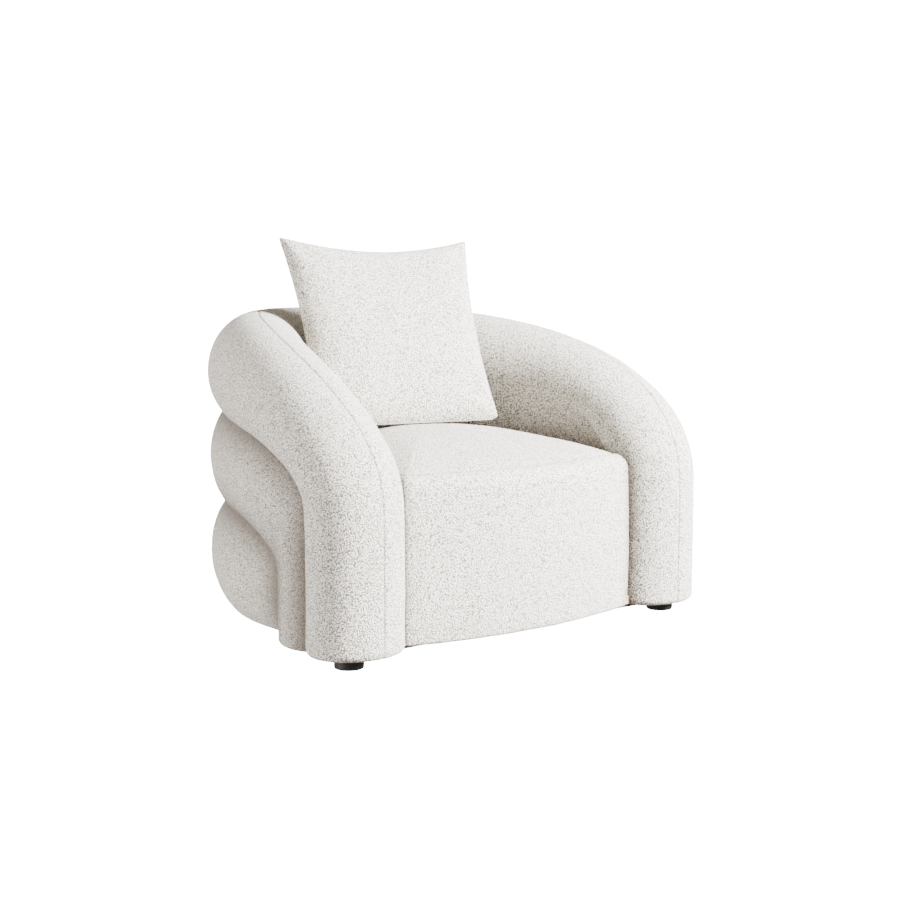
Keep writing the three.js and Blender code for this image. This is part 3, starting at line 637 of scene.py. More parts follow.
@dataclass
class Roll:
    """A padded roll: a swept tube of cloth over foam."""

    name: str
    node: str
    upper: Optional[Edge] = None
    lower: Optional[Edge] = None
    lie: Lie = Lie.SWEPT
    half_at_post: float = 0.1
    half_at_back: float = 0.1
    shift_at_post: float = 0.0
    shift_at_back: float = 0.0
    blend: float = 0.740
    foot: float = 0.025
    hem_radius: float = 0.013
    inner_limit: Optional[float] = None
    level_start: float = 0.150
    level_middle: float = 0.144
    level_half: float = 0.127
    stations: int = 132
    sides: int = 76
    seam_angle: Optional[float] = 0.0
    seam_depth: float = 0.0016
    seam_reach: float = 0.0022
    press_gap: float = 0.0012
    seed: float = 1.0

    def shares(self) -> np.ndarray:
        """How far along each half of the roll its stations lie, closer at the hem."""
        hem = np.array([0.0, 0.0006, 0.0016, 0.0032, 0.0055, 0.0082])
        return np.concatenate([hem, np.linspace(0.0115, 1.0, self.stations)])

    def angles(self) -> np.ndarray:
        """The angles round the roll, closer together at the seam."""
        near = np.array([-0.075, -0.045, -0.024, -0.010, 0.0, 0.010, 0.024, 0.045, 0.075])
        rest = np.linspace(0.13, 2 * math.pi - 0.13, self.sides)
        if self.seam_angle is None:
            return np.linspace(0.0, 2 * math.pi, self.sides + 8, endpoint=False)
        return np.concatenate([near, rest]) + self.seam_angle

    def edge_lines(self, share: np.ndarray, plan: Plan) -> list[np.ndarray]:
        """The upper and the lower edge at shares of their length, as distance along and height."""
        lines = []
        for edge in (self.upper, self.lower):
            length, line = edge.sampled(self.foot, plan.half)
            lines.append(np.stack([np.interp(share, length, line[:, i]) for i in (0, 1)], axis=1))
        return lines

    def section(self, along: np.ndarray, start: float) -> tuple[np.ndarray, np.ndarray]:
        """The section's half width and outward shift, eased from the post to the back.

        Args:
            along: distances along the plan line.
            start: where the easing begins.

        Returns:
            The half widths and the shifts.
        """
        back = smooth_step(along, start, self.blend)
        half_width = self.half_at_post + (self.half_at_back - self.half_at_post) * back
        return half_width, self.shift_at_post + (self.shift_at_back - self.shift_at_post) * back

    def swept_rows(self, plan: Plan, grow: float) -> np.ndarray:
        """The rows of a roll that sweeps down into the posts.

        Args:
            plan: the plan line.
            grow: how much the section swells.

        Returns:
            Places of shape (stations, sides, 3).
        """
        upper, lower = self.edge_lines(self.shares(), plan)
        middle = (upper + lower) / 2
        reach = (upper - lower) / 2
        half_height = np.linalg.norm(reach, axis=1)
        towards = reach / half_height[:, None]
        half_width, shift = self.section(middle[:, 0], 0.0)
        lift = np.clip(middle[:, 1] - self.foot, 0.0, self.hem_radius)
        hem = self.hem_radius - np.sqrt(self.hem_radius**2 - (self.hem_radius - lift) ** 2)
        swell = grow - hem
        angle = self.angles()
        c, s = np.cos(angle)[None, :], np.sin(angle)[None, :]
        along = middle[:, :1] + towards[:, :1] * (half_height + swell)[:, None] * c
        up = middle[:, 1:] + towards[:, 1:] * (half_height + swell)[:, None] * c
        out = shift[:, None] + (half_width + swell)[:, None] * s
        if self.inner_limit is not None:
            out = np.maximum(out, self.inner_limit)
        up[0] = self.foot
        return both_halves(plan.lay(along, out, up))

    def level_rows(self, plan: Plan, grow: float) -> np.ndarray:
        """The rows of a roll that lies level all round.

        Args:
            plan: the plan line.
            grow: how much the section swells.

        Returns:
            Places of shape (stations, sides, 3).
        """
        along = np.linspace(self.level_start, plan.half, self.stations)
        half_width, shift = self.section(along, self.level_start)
        angle = self.angles()
        c, s = np.cos(angle)[None, :], np.sin(angle)[None, :]
        up = np.broadcast_to(self.level_middle + (self.level_half + grow) * c, (len(along), len(angle)))
        out = shift[:, None] + (half_width + grow)[:, None] * s
        # The underside is pulled flat over the plates, with a soft corner.
        corner = self.foot + self.hem_radius
        sunk = np.maximum(corner - up, 0.0)
        tuck = np.minimum(sunk, self.hem_radius)
        up = np.where(sunk > 0, corner - self.hem_radius * np.tanh(sunk / self.hem_radius), up)
        out = out - 0.15 * tuck * np.sign(s)
        out = np.maximum(out, self.inner_limit or 0.0)
        return both_halves(plan.lay(along[:, None], out, up))

    def rows(self, plan: Plan, grow: float = 0.0) -> np.ndarray:
        """The roll's rows of places, swollen by grow."""
        if self.lie is Lie.LEVEL:
            return self.level_rows(plan, grow)
        return self.swept_rows(plan, grow)

    def build(self, plan: Plan, above: Optional["Roll"] = None) -> bpy.types.Object:
        """Sews the roll's cover.

        Args:
            plan: the plan line.
            above: the roll that this one is pressed under.

        Returns:
            The cover.
        """
        rows = self.rows(plan)
        piece = tube_of_cloth(self.name, rows)
        where = places(piece)
        facing = normals(piece)
        plump = 0.0011 * ripple(where, 7.0, self.seed) + 0.0007 * ripple(where, 26.0, self.seed + 4)
        seam = self.seam_nearness(where, rows)
        plump -= self.seam_depth * seam ** 0.7
        remember(piece, "seam", seam)
        set_places(piece, where + facing * plump[:, None])
        if above is not None:
            self.press(piece, above, plan)
        round_off(piece)
        return piece

    def seam_nearness(self, where: np.ndarray, rows: np.ndarray) -> np.ndarray:
        """How near each place is to the roll's seam.

        Args:
            where: the places.
            rows: the rows that the roll was made from. The seam is the fifth place of each.

        Returns:
            1 on the seam, falling to 0 at a few millimetres.
        """
        if self.seam_angle is None:
            return np.zeros(len(where))
        line = rows[:, 4]
        fine = np.concatenate([line[:-1] + (line[1:] - line[:-1]) * t for t in np.linspace(0, 1, 6)[:-1]])
        return np.exp(-((gaps(where, fine) / self.seam_reach) ** 2))

    def press(self, piece: bpy.types.Object, above: "Roll", plan: Plan) -> None:
        """Cuts the cover back to where it meets the roll above it.

        Args:
            piece: this roll's cover.
            above: the other roll.
            plan: the plan line.
        """
        tool = tube_of_cloth("pressing", above.rows(plan, self.press_gap))
        only(piece)
        cut = piece.modifiers.new("press", "BOOLEAN")
        cut.operation = "DIFFERENCE"
        cut.solver = "MANIFOLD"
        cut.object = tool
        bpy.ops.object.modifier_apply(modifier=cut.name)
        bpy.data.objects.remove(tool)


@dataclass
class Rolls:
    """The three stacked rolls of the back and arms."""

    plan: Plan

    def __post_init__(self) -> None:
        """Sets each roll's sizes."""
        self.top = Roll(
            "top_roll", "top_roll_cover",
            upper=Edge(-0.087, 0.294, 0.674, 0.844, 2.21),
            lower=Edge(0.087, 0.290, 0.416, 0.350, 2.2),
            half_at_post=0.102, half_at_back=0.115, seed=1.0)
        self.middle = Roll(
            "middle_roll", "middle_roll_cover",
            upper=Edge(0.006, 0.202, 0.494, 0.811, 2.12),
            lower=Edge(0.205, 0.165, 0.222, 0.240, 2.2),
            half_at_post=0.0995, half_at_back=0.0986, shift_at_post=-0.008, shift_at_back=0.014,
            inner_limit=0.008, seam_angle=None, seed=7.0)
        self.bottom = Roll(
            "bottom_roll", "bottom_roll_cover", lie=Lie.LEVEL,
            half_at_post=0.082, half_at_back=0.082, shift_at_post=-0.006, shift_at_back=0.030,
            blend=0.420, inner_limit=0.008, seam_angle=None, seed=13.0)

    def build(self, cloth: bpy.types.Material) -> list[bpy.types.Object]:
        """Sews and dresses the three covers.

        Args:
            cloth: the cover's material.

        Returns:
            The covers.
        """
        made = []
        for roll, above in ((self.top, None), (self.middle, self.top), (self.bottom, self.middle)):
            piece = roll.build(self.plan, above)
            dress(piece, cloth)
            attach(piece, "chair")
            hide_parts(roll.node, roll.node.replace("_cover", "_foam"))
            made.append(piece)
        return made

    def height_of_middle(self, along: np.ndarray) -> np.ndarray:
        """Height of the top roll's middle line above points of the plan."""
        upper, lower = self.top.edge_lines(np.linspace(0.0, 1.0, 1200), self.plan)
        middle = (upper + lower) / 2
        run = np.where(along > self.plan.half, 2 * self.plan.half - along, along)
        ahead = middle[:, 0] > 0.0005
        return np.interp(run, middle[ahead, 0], middle[ahead, 1])


@dataclass
class InsideLining:
    """The cloth that lines the inside of the arms and back, from the top roll down behind the seat."""

    plan: Plan
    rolls: Rolls
    first: float = 0.040
    foot: float = 0.050
    face: float = 0.0972
    tuck: float = 0.0016
    thick: float = 0.0052
    belly: float = 0.0022
    belly_foot: float = 0.37
    belly_height: float = 0.12
    stations: int = 200
    levels: int = 46

    def build(self, cloth: bpy.types.Material) -> bpy.types.Object:
        """Sews and dresses the lining.

        Args:
            cloth: its material.

        Returns:
            The lining.
        """
        along = np.linspace(self.first, 2 * self.plan.half - self.first, self.stations)
        top = self.rolls.height_of_middle(along)
        run = np.minimum(along, 2 * self.plan.half - along)
        width, _ = self.rolls.top.section(run, 0.0)
        share = np.linspace(0.0, 1.0, self.levels)[None, :]
        up = self.foot + (top[:, None] - self.foot) * share
        ease = smooth_step(up, 0.375, 0.470)
        front = self.face + (width[:, None] - self.tuck - self.face) * ease
        rise = np.clip((up - self.belly_foot) / self.belly_height, 0, 1)
        front = front + self.belly * np.sin(math.pi * rise)
        inner = self.plan.lay(along[:, None], -front, up)
        outer = self.plan.lay(along[:, None], -(front - self.thick), up)[:, ::-1]
        piece = tube_of_cloth("inside_lining", np.concatenate([inner, outer], axis=1))
        where = places(piece)
        set_places(piece, where + normals(piece) * (0.0007 * ripple(where, 9.0, 21.0))[:, None])
        remember(piece, "seam", np.zeros(len(where)))
        round_off(piece)
        dress(piece, cloth)
        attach(piece, "chair")
        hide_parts("inside_lining_cover", "inside_lining_foam")
        return piece


def paint_crease_shade(piece: bpy.types.Object, neighbours: Sequence[bpy.types.Object], reach: float) -> None:
    """Paints shade into the crease between a cover and its neighbours: stores how near each point lies to
    them, which darkens the cloth.

    Args:
        piece: the cover.
        neighbours: the covers that it meets.
        reach: how far the painted crease shade fades out, in metres.
    """
    others = np.concatenate([places(other)[::2] for other in neighbours])
    far = gaps(places(piece), others)
    # The crease attribute is painted shade: 1 where covers meet, fading with distance.
    remember(piece, "crease", np.exp(-((far / reach) ** PAINTED_CREASE_FALL)))


# ------------------------------------------------------------------ seat


@dataclass
class Seat:
    """The fixed seat: a crowned top with a seam round its edge, and a soft boxed side."""

    plan: Plan
    side: float = -0.101
    front_corner: float = 0.435
    front_middle: float = 0.484
    edge: float = 0.366
    crown: float = 0.420
    crown_power: float = 2.4
    belly: float = 0.004
    ridge: float = 0.009
    ridge_half_width: float = 0.30
    ridge_half_depth: float = 0.075
    ridge_forward: float = 0.150
    ridge_slant: float = 0.28
    shoulder: float = 0.034
    centre: float = -0.120
    foot: float = 0.025
    hem_radius: float = 0.010
    turns: int = 420
    seam_depth: float = 0.0013

    def outline(self) -> np.ndarray:
        """The seat's outline from above, as a closed ring of points."""
        start = -(self.front_corner + self.plan.post_line)
        along = np.linspace(start, 2 * self.plan.half - start, 400)
        ring = self.plan.lay(along, np.full(400, self.side), np.zeros(400))[:, :2]
        corner = ring[-1]
        x = np.linspace(corner[0], -corner[0], 160)[1:-1]
        swell = (self.front_middle + corner[1]) * (1 - (x / corner[0]) ** 2)
        return np.concatenate([ring, np.stack([x, corner[1] - swell], axis=1)])

    def reach(self, angles: np.ndarray) -> np.ndarray:
        """Distance from the seat's centre to its outline, in each direction."""
        ring = self.outline() - np.array([0.0, self.centre])
        nxt = np.roll(ring, -1, axis=0)
        edge = nxt - ring
        found = []
        for angle in angles:
            ray = np.array([math.cos(angle), math.sin(angle)])
            det = ray[0] * edge[:, 1] - ray[1] * edge[:, 0]
            det = np.where(np.abs(det) < 1e-12, 1e-12, det)
            far = (ring[:, 0] * edge[:, 1] - ring[:, 1] * edge[:, 0]) / det
            share = (ring[:, 0] * ray[1] - ring[:, 1] * ray[0]) / det
            hit = (far > 0) & (share >= -1e-6) & (share <= 1 + 1e-6)
            found.append(far[hit].min())
        return np.array(found)

    def profile(self) -> list[tuple[float, float, float]]:
        """The profile from the hem to the crown: share of the way out, inset and height."""
        points = []
        for angle in np.linspace(0.0, math.pi / 2, 6):
            inset = self.hem_radius * (1 - math.sin(angle))
            points.append((1.0, inset, self.foot + self.hem_radius * (1 - math.cos(angle))))
        wall_top = self.edge - self.shoulder
        for up in np.linspace(self.foot + self.hem_radius, wall_top, 34)[1:-1]:
            bulge = self.belly * math.sin(math.pi * (up - self.foot) / (wall_top - self.foot))
            points.append((1.0, -bulge, float(up)))
        for angle in np.linspace(0.0, math.pi / 2, 16):
            inset = self.shoulder * (1 - math.cos(angle))
            points.append((1.0, inset, wall_top + self.shoulder * math.sin(angle)))
        rise = self.crown - self.edge
        near = [0.997, 0.993, 0.988, 0.98]
        for share in near + list(np.linspace(0.97, 0.02, 44)):
            points.append((share, self.shoulder, self.edge + rise * (1 - share**self.crown_power)))
        return points

    def build(self, cloth: bpy.types.Material) -> bpy.types.Object:
        """Sews and dresses the seat's cover.

        Args:
            cloth: its material.

        Returns:
            The cover.
        """
        angles = np.linspace(0.0, 2 * math.pi, self.turns, endpoint=False)
        reach = self.reach(angles)
        rows = []
        for share, inset, up in self.profile():
            far = share * (reach - inset)
            rows.append(np.stack([far * np.cos(angles), self.centre + far * np.sin(angles),
                                  np.full(len(angles), up)], axis=1))
        piece = tube_of_cloth("seat", np.array(rows))
        where = places(piece)
        facing = normals(piece)
        radius = np.hypot(where[:, 0], where[:, 1] - self.centre)
        edge = np.interp(np.arctan2(where[:, 1] - self.centre, where[:, 0]) % (2 * math.pi),
                         np.append(angles, 2 * math.pi), np.append(reach, reach[0]))
        from_seam = np.hypot(edge - self.shoulder - radius, where[:, 2] - self.edge)
        seam = np.exp(-((from_seam / 0.0026) ** 2))
        plump = 0.0016 * ripple(where, 5.0, 31.0) + 0.0006 * ripple(where, 22.0, 35.0)
        across = where[:, 0] / self.ridge_half_width
        along = (where[:, 1] + self.ridge_forward + self.ridge_slant * where[:, 0]) / self.ridge_half_depth
        plump = plump + self.ridge * np.exp(-across**2 - along**2) * smooth_step(facing[:, 2], 0.5, 0.95)
        pucker = 0.0012 * ripple(where, 60.0, 39.0) * np.exp(-((from_seam / 0.022) ** 2))
        remember(piece, "seam", seam)
        set_places(piece, where + facing * (plump + pucker - self.seam_depth * seam)[:, None])
        round_off(piece)
        dress(piece, cloth)
        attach(piece, "chair")
        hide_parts("seat_cover", "seat_foam", "seat_border_foam")
        return piece


# ------------------------------------------------------------------ loose cushion


@dataclass
class Cushion:
    """The loose square cushion: a pillow form, plumped by a cloth simulation, with its zip."""

    side: float = 0.460
    thickness: float = 0.112
    seam_thickness: float = 0.006
    waist: float = 0.075
    fullness: float = 0.72
    place: tuple[float, float, float] = (0.006, -0.064, 0.430)
    turn: float = math.radians(-16.0)
    lean: float = math.radians(27.0)
    cells: int = 72
    start_share: float = 0.72
    pressure: float = 4.0
    most_swelling: float = 0.024
    frames: int = 20
    seam_hold: float = 0.55
    thread: float = 22.0
    zip_length: float = 0.396
    zip_tape: float = 0.0016
    tape_width: float = 0.008
    tape_round: float = 0.0004
    tooth: float = 0.0028
    coil: float = 0.0042
    coil_radius: float = 0.00075
    lip: float = 0.0055
    low_right: float = -0.018
    top_left: float = -0.010
    top_right: float = -0.006
    top_right_drop: float = -0.009

    def stand(self) -> Matrix:
        """The turn and place that stand the cushion on the seat."""
        turn = Matrix.Rotation(self.turn, 4, "Z") @ Matrix.Rotation(-self.lean, 4, "X")
        return Matrix.Translation(self.place) @ turn

    def pillow(self, piece: bpy.types.Object, share: float) -> None:
        """Shapes a flat box of cloth into a pillow.

        Args:
            piece: the box, one unit each way, its thin axis along Y.
            share: how much of its full thickness it gets.
        """
        where = places(piece)
        u, v = 2 * where[:, 0], 2 * where[:, 2]
        crown = (np.clip(1 - u**4, 0, 1) * np.clip(1 - v**4, 0, 1)) ** 0.5
        half_seam, half = self.seam_thickness / 2, self.thickness / 2 * share
        thick = half_seam + (half - half_seam) * crown**self.fullness
        side_waist = 1 - self.waist * (1 - v**2)
        top_waist = np.maximum(v, 0.0) * self.waist * (1 - u**2)
        up = self.side * (v + 1) / 2 - self.side * top_waist
        across = self.side / 2 * u * side_waist
        set_places(piece, np.stack([across, 2 * thick * where[:, 1], up], axis=1))

    def stuff(self, piece: bpy.types.Object) -> None:
        """Inflates the cover as filling does, holding its seam.

        Args:
            piece: the cover.
        """
        rest = places(piece)
        held_seam = piece.vertex_groups.new(name="held_seam")
        rim = np.flatnonzero(np.abs(rest[:, 1]) < self.seam_thickness * 0.62)
        held_seam.add([int(i) for i in rim], self.seam_hold, "REPLACE")
        cloth = piece.modifiers.new("stuffing", "CLOTH")
        settings = cloth.settings
        settings.quality = 6
        settings.mass = 0.15
        settings.use_pressure = True
        settings.uniform_pressure_force = self.pressure
        settings.effector_weights.gravity = 0.0
        settings.tension_stiffness = self.thread
        settings.compression_stiffness = self.thread
        settings.shear_stiffness = 8.0
        settings.bending_stiffness = 0.4
        settings.vertex_group_mass = held_seam.name
        settings.pin_stiffness = 1.0
        cloth.collision_settings.use_collision = False
        cloth.point_cache.frame_start = 1
        cloth.point_cache.frame_end = self.frames
        scene = bpy.context.scene
        for step in range(1, self.frames + 1):
            scene.frame_set(step)
        only(piece)
        bpy.ops.object.modifier_apply(modifier=cloth.name)
        scene.frame_set(1)
        moved = places(piece) - rest
        far = np.linalg.norm(moved, axis=1)
        held = np.minimum(far, self.most_swelling) / np.maximum(far, 1e-9)
        set_places(piece, rest + moved * held[:, None])
        piece.vertex_groups.clear()

    def build(self, cloth: bpy.types.Material) -> bpy.types.Object:
        """Sews, stuffs and dresses the cover.

        Args:
            cloth: its material.

        Returns:
            The cover.
        """
        piece = fresh("cushion", bpy.ops.mesh.primitive_cube_add, size=1.0)
        bpy.ops.object.mode_set(mode="EDIT")
        bpy.ops.mesh.select_all(action="DESELECT")
        mesh = bmesh.from_edit_mesh(piece.data)
        for edge in mesh.edges:
            middle = (edge.verts[0].co + edge.verts[1].co) / 2
            edge.select_set(abs(middle.y) > 0.25)
        bmesh.update_edit_mesh(piece.data)
        bpy.ops.mesh.subdivide(number_cuts=self.cells - 1)
        bpy.ops.object.mode_set(mode="OBJECT")
        self.pillow(piece, self.start_share)
        self.stuff(piece)
        self.fit(piece)
        self.crease(piece)
        piece.data.transform(self.stand())
        only(piece)
        swell = piece.modifiers.new("soften", "SUBSURF")
        swell.levels = swell.render_levels = 1
        bpy.ops.object.modifier_apply(modifier=swell.name)
        round_off(piece)
        dress(piece, cloth)
        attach(piece, "cushion")
        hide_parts("cushion_cover", "cushion_insert")
        return piece

    def fit(self, piece: bpy.types.Object) -> None:
        """Scales the stuffed cover back to the cushion's thickness and side."""
        where = places(piece)
        size = where.max(axis=0) - where.min(axis=0)
        where[:, 1] *= self.thickness / size[1]
        where[:, 0] *= self.side / size[0]
        where[:, 2] = (where[:, 2] - where[:, 2].min()) * (self.side / size[2])
        set_places(piece, where)

    def crease(self, piece: bpy.types.Object) -> None:
        """Adds slack folds, marks the seam, and moves the lip and corners to where they rest."""
        where = places(piece)
        u = 2 * where[:, 0] / self.side
        v = 2 * where[:, 2] / self.side - 1
        depth = np.abs(where[:, 1])
        seam = np.exp(-((depth / 0.0022) ** 2)) * (np.maximum(np.abs(u), np.abs(v)) > 0.88)
        near = np.clip(np.maximum(np.abs(u), np.abs(v)) - 0.55, 0, 0.45) / 0.45
        fold = 0.0022 * ripple(where * np.array([1.0, 0.4, 1.0]), 24.0, 43.0) * near * (1 - near) * 4
        dent = 0.0035 * ripple(where * np.array([1.0, 0.2, 1.0]), 6.5, 47.0) * np.clip(1 - near, 0, 1)
        side = np.sign(where[:, 1])
        where[:, 1] += side * (fold + dent) * np.clip(depth / 0.012, 0, 1)
        remember(piece, "seam", seam)
        foot = np.clip(-v - 0.80, 0, 0.2) / 0.2
        where[:, 2] -= self.lip * foot**2 * np.clip(1 - np.abs(u), 0, 0.08) / 0.08
        right, high = (1 + u) / 2, (1 + v) / 2
        low_right, top_left, top_right = right * (1 - high), (1 - right) * high, right * high
        where[:, 0] += self.low_right * low_right + self.top_left * top_left + self.top_right * top_right
        where[:, 2] += self.top_right_drop * top_right
        set_places(piece, where)

    def build_zip(self, tape_finish: bpy.types.Material) -> bpy.types.Object:
        """Makes the zip: a flat tape with a row of coil teeth along its lower edge.

        Args:
            tape_finish: the material.

        Returns:
            The zip.
        """
        piece = fresh("cushion_zip_tape", bpy.ops.mesh.primitive_cube_add, size=1.0)
        piece.data.transform(Matrix.Diagonal((self.zip_length, self.zip_tape, self.tape_width, 1.0)))
        bpy.ops.object.mode_set(mode="EDIT")
        bpy.ops.mesh.select_all(action="SELECT")
        bpy.ops.mesh.bevel(offset=self.tape_round, segments=2, affect="EDGES")
        bpy.ops.object.mode_set(mode="OBJECT")
        parts = [piece]
        tooth = fresh("tooth", bpy.ops.mesh.primitive_cylinder_add, vertices=6,
                      radius=self.coil_radius, depth=self.coil, rotation=(math.pi / 2, 0, 0))
        tooth.data.transform(tooth.matrix_basis)
        tooth.matrix_basis = Matrix.Identity(4)
        for i in range(int(self.zip_length / self.tooth)):
            copy = bpy.data.objects.new(f"tooth_{i}", tooth.data.copy())
            bpy.context.collection.objects.link(copy)
            across = (i + 0.5) * self.tooth - self.zip_length / 2
            copy.data.transform(Matrix.Translation((across, 0, -self.coil)))
            parts.append(copy)
        bpy.data.objects.remove(tooth)
        bpy.ops.object.select_all(action="DESELECT")
        for part in parts:
            part.select_set(True)
        bpy.context.view_layer.objects.active = piece
        bpy.ops.object.join()
        piece.data.transform(self.stand())
        dress(piece, tape_finish)
        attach(piece, "cushion")
        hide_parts("cushion_zip")
        return piece


# ------------------------------------------------------------------ feet


@dataclass
class Feet:
    """Four low disc feet, turned once and copied."""

    radius: float = 0.030
    height: float = 0.0296
    round_edge: float = 0.0045
    recess: float = 0.0074
    recess_depth: float = 0.0084
    bore: float = 0.0034
    groove_depth: float = 0.0005
    steps: int = 72

    def profile(self) -> list[tuple[float, float]]:
        """The foot's outline from the recess round to its top, as radius and height."""
        r, e = self.radius, self.round_edge
        points = [(self.bore, self.height), (self.bore, self.recess_depth), (self.recess, self.recess_depth)]
        points += [(self.recess, 0.0008), (self.recess + 0.0008, 0.0)]
        points += [(0.019, 0.0), (0.0195, 0.0006), (0.0205, 0.0006), (0.021, 0.0)]
        for angle in np.linspace(0.0, math.pi / 2, 7):
            points.append((r - e + e * math.sin(angle), e * (1 - math.cos(angle))))
        groove = r - self.groove_depth
        points += [(r, self.height * 0.62), (groove, self.height * 0.64), (groove, self.height * 0.69)]
        points += [(r, self.height * 0.71), (r, self.height - 0.001), (r - 0.001, self.height)]
        return points

    def turn_one(self) -> bpy.types.Object:
        """Turns one foot round the Z axis."""
        points = self.profile()
        foot = fresh("foot_pattern", bpy.ops.mesh.primitive_grid_add,
                     x_subdivisions=1, y_subdivisions=len(points) - 1, size=1.0)
        line = np.array([(r, 0.0, z) for r, z in points])
        set_places(foot, np.repeat(line, 2, axis=0))
        bpy.ops.object.mode_set(mode="EDIT")
        weld(1e-7)
        bpy.ops.mesh.select_all(action="SELECT")
        bpy.ops.mesh.spin(steps=self.steps, angle=2 * math.pi, center=(0, 0, 0), axis=(0, 0, 1))
        weld(1e-6)
        bpy.ops.mesh.select_all(action="DESELECT")
        bpy.ops.mesh.select_mode(type="EDGE")
        bpy.ops.mesh.select_non_manifold(extend=False)
        bpy.ops.mesh.bridge_edge_loops()
        bpy.ops.mesh.select_mode(type="VERT")
        face_outwards()
        return foot

    def build(self, plastic: bpy.types.Material) -> list[bpy.types.Object]:
        """Makes and dresses the four feet.

        Args:
            plastic: their material.

        Returns:
            The feet.
        """
        pattern = self.turn_one()
        made = []
        for end in ("front", "back"):
            for side in ("left", "right"):
                node = f"{end}_{side}_foot"
                low, high = (Vector(corner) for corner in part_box(node))
                foot = bpy.data.objects.new(f"{end}_{side}_disc_foot", pattern.data.copy())
                bpy.context.collection.objects.link(foot)
                foot.data.transform(Matrix.Translation(((low.x + high.x) / 2, (low.y + high.y) / 2, low.z)))
                only(foot)
                bpy.ops.object.shade_smooth_by_angle(angle=math.radians(35))
                dress(foot, plastic)
                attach(foot, "chair")
                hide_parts(node)
                made.append(foot)
        bpy.data.objects.remove(pattern)
        return made


# ------------------------------------------------------------------ hidden frame


@dataclass
class HiddenFrame:
    """The carried-over pieces inside and under the chair, which only need their finishes."""

    def finishes(self) -> dict[str, bpy.types.Material]:
        """One material for each of the record's slots that hidden pieces use."""
        return {
            "foam": Foam().material(),
            "plywood": Wood("birch_plywood", light=(0.60, 0.44, 0.26), dark=(0.45, 0.31, 0.17)).material(),
            "timber": Wood("beech_rail", light=(0.54, 0.36, 0.20), dark=(0.38, 0.23, 0.12),
                           grain=(30.0, 140.0, 30.0)).material(),
            "spring_steel": Metal().material(),
            "felt": Cloth("grey_felt", (0.24, 0.235, 0.23), threads=240.0).material(),
            "dark_cloth": Cloth("dust_cloth", (0.028, 0.028, 0.030)).material(),
            "zip_plastic": Plastic("zip_tape", (0.62, 0.60, 0.56), rough=0.5).material(),
        }

    def dress(self, finishes: dict[str, bpy.types.Material]) -> int:
        """Dresses every carried-over piece that is still shown.

        Args:
            finishes: the materials by slot.

        Returns:
            How many pieces were dressed.
        """
        slots = {row["node"]: row["material_slot"] for row in frame["record"]["subparts"]}
        count = 0
        for node, piece in frame["nodes"].items():
            finish = finishes.get(slots.get(node, ""))
            if finish is None:
                continue
            for slot in piece.material_slots:
                slot.material = finish
            count += 1
        log.info("hidden pieces dressed: %d", count)
        return count


# ------------------------------------------------------------------ studio


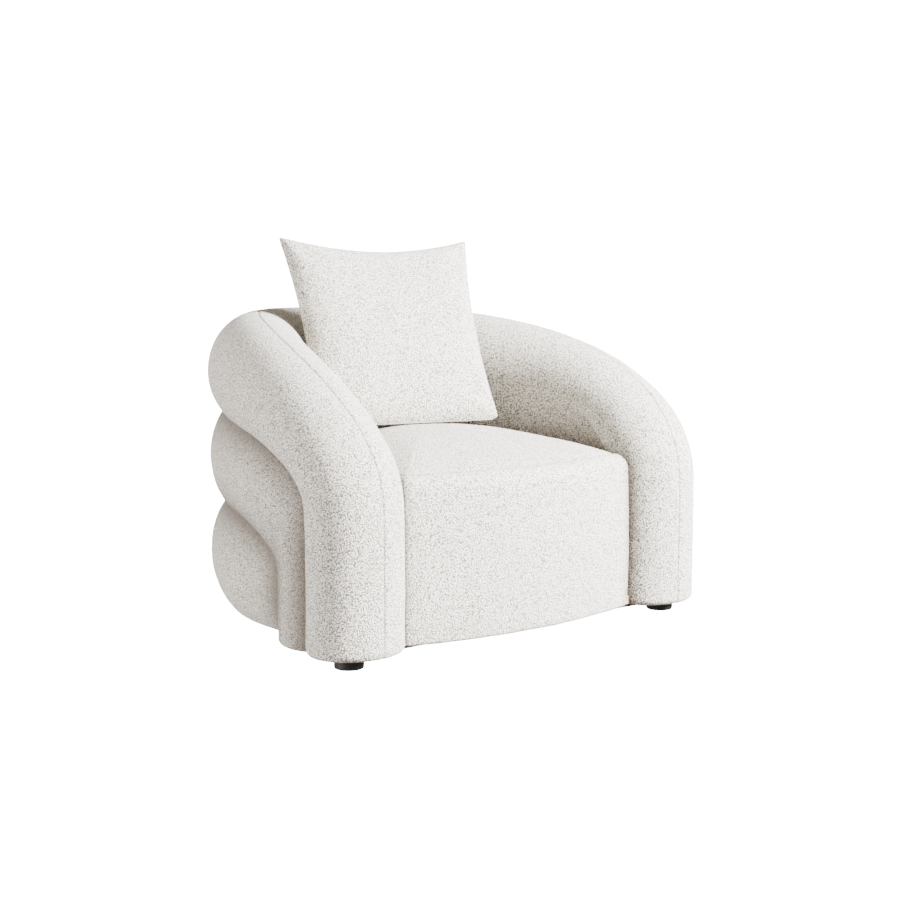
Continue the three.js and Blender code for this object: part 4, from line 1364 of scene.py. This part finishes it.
@dataclass
class Studio:
    """The room: camera, floor and lights."""

    eye: tuple[float, float, float] = (-2.48370, -3.10597, 0.81502)
    azimuth: float = math.radians(-40.5107)
    pitch: float = math.radians(6.5732)
    lens: float = 70.505
    shift: float = 0.0015
    sensor: float = 36.0
    floor_side: float = 30.0
    air: float = 0.64
    air_colour: tuple[float, float, float] = (1.0, 0.90, 0.78)
    backdrop: float = 26.0
    glow: float = 22.0
    key: float = 4000.0
    key_place: tuple[float, float, float] = (2.5, -4.3, 2.8)
    key_aim: tuple[float, float, float] = (0.0, -0.1, 0.35)
    key_size: float = 2.0
    bounce: float = 260.0
    bounce_place: tuple[float, float, float] = (-3.5, 0.6, 0.75)
    bounce_aim: tuple[float, float, float] = (0.0, 0.0, 0.30)
    bounce_size: float = 1.5

    def place_camera(self) -> None:
        """Sets up the camera."""
        data = bpy.data.cameras.new("camera")
        data.lens = self.lens
        data.sensor_width = self.sensor
        data.shift_y = self.shift
        data.clip_end = 60.0
        camera = bpy.data.objects.new("camera", data)
        bpy.context.collection.objects.link(camera)
        a, e = self.azimuth, self.pitch
        back = Vector((math.sin(a) * math.cos(e), -math.cos(a) * math.cos(e), math.sin(e)))
        right = Vector((math.cos(a), math.sin(a), 0.0))
        turn = Matrix((right, back.cross(right), back)).transposed().to_4x4()
        camera.matrix_world = Matrix.Translation(self.eye) @ turn
        bpy.context.scene.camera = camera

    def lay_floor(self) -> None:
        """Lays a wide glowing floor that only the camera sees, so it takes and throws no shadow."""
        floor = fresh("studio_floor", bpy.ops.mesh.primitive_plane_add, size=self.floor_side)
        r = Recipe("pale_floor")
        dress(floor, r.finish(Base_Color=(0.9, 0.9, 0.9, 1.0), Roughness=0.9, Specular_IOR_Level=0.1,
                              Emission_Color=(1.0, 1.0, 1.0, 1.0), Emission_Strength=self.glow))
        floor.visible_diffuse = floor.visible_glossy = floor.visible_shadow = False

    @staticmethod
    def lamp(name: str, place: Sequence[float], aim: Sequence[float], size: float, power: float) -> None:
        """Hangs one square soft lamp.

        Args:
            name: its name.
            place: where it hangs.
            aim: what it points at.
            size: its side.
            power: its power in watts.
        """
        data = bpy.data.lights.new(name, "AREA")
        data.size = size
        data.energy = power
        light = bpy.data.objects.new(name, data)
        bpy.context.collection.objects.link(light)
        back = (Vector(place) - Vector(aim)).normalized()
        light.matrix_world = Matrix.Translation(place) @ back.to_track_quat("Z", "Y").to_matrix().to_4x4()

    def light(self) -> None:
        """Fills the room with soft light, and shows the camera a bright wall."""
        world = bpy.data.worlds.new("studio_air")
        world.use_nodes = True
        tree = world.node_tree
        air = tree.nodes["Background"]
        air.inputs[0].default_value = (*self.air_colour, 1.0)
        air.inputs[1].default_value = self.air
        wall = tree.nodes.new("ShaderNodeBackground")
        wall.inputs[1].default_value = self.backdrop
        ray = tree.nodes.new("ShaderNodeLightPath")
        either = tree.nodes.new("ShaderNodeMixShader")
        tree.links.new(ray.outputs["Is Camera Ray"], either.inputs[0])
        tree.links.new(air.outputs[0], either.inputs[1])
        tree.links.new(wall.outputs[0], either.inputs[2])
        tree.links.new(either.outputs[0], tree.nodes["World Output"].inputs[0])
        bpy.context.scene.world = world
        self.lamp("key", self.key_place, self.key_aim, self.key_size, self.key)
        self.lamp("bounce", self.bounce_place, self.bounce_aim, self.bounce_size, self.bounce)

    def build(self) -> None:
        """Sets up the whole room."""
        self.place_camera()
        self.lay_floor()
        self.light()


# ------------------------------------------------------------------ the whole chair


def main() -> None:
    """Builds the armchair piece by piece."""
    logging.basicConfig(level=logging.INFO, format="%(name)s %(message)s")
    Studio().build()
    wool = Boucle().material()
    plan = Plan()
    rolls = Rolls(plan)
    top, middle, bottom = rolls.build(wool)
    lining = InsideLining(plan, rolls).build(wool)
    seat = Seat(plan).build(wool)
    # Paint shade into the creases where each cover meets its neighbours.
    for piece, neighbours in ((top, [middle, bottom, seat]), (middle, [top, bottom]),
                              (bottom, [middle, top]), (lining, [seat]), (seat, [top, lining])):
        paint_crease_shade(piece, neighbours, PAINTED_CREASE_REACH[piece.name])
    hidden = HiddenFrame()
    finishes = hidden.finishes()
    hidden.dress(finishes)
    cushion = Cushion()
    cushion.build(wool)
    cushion.build_zip(finishes["zip_plastic"])
    Feet().build(Plastic("foot_plastic", (0.0045, 0.0045, 0.005), rough=0.5).material())


if __name__ == "__main__":
    main()
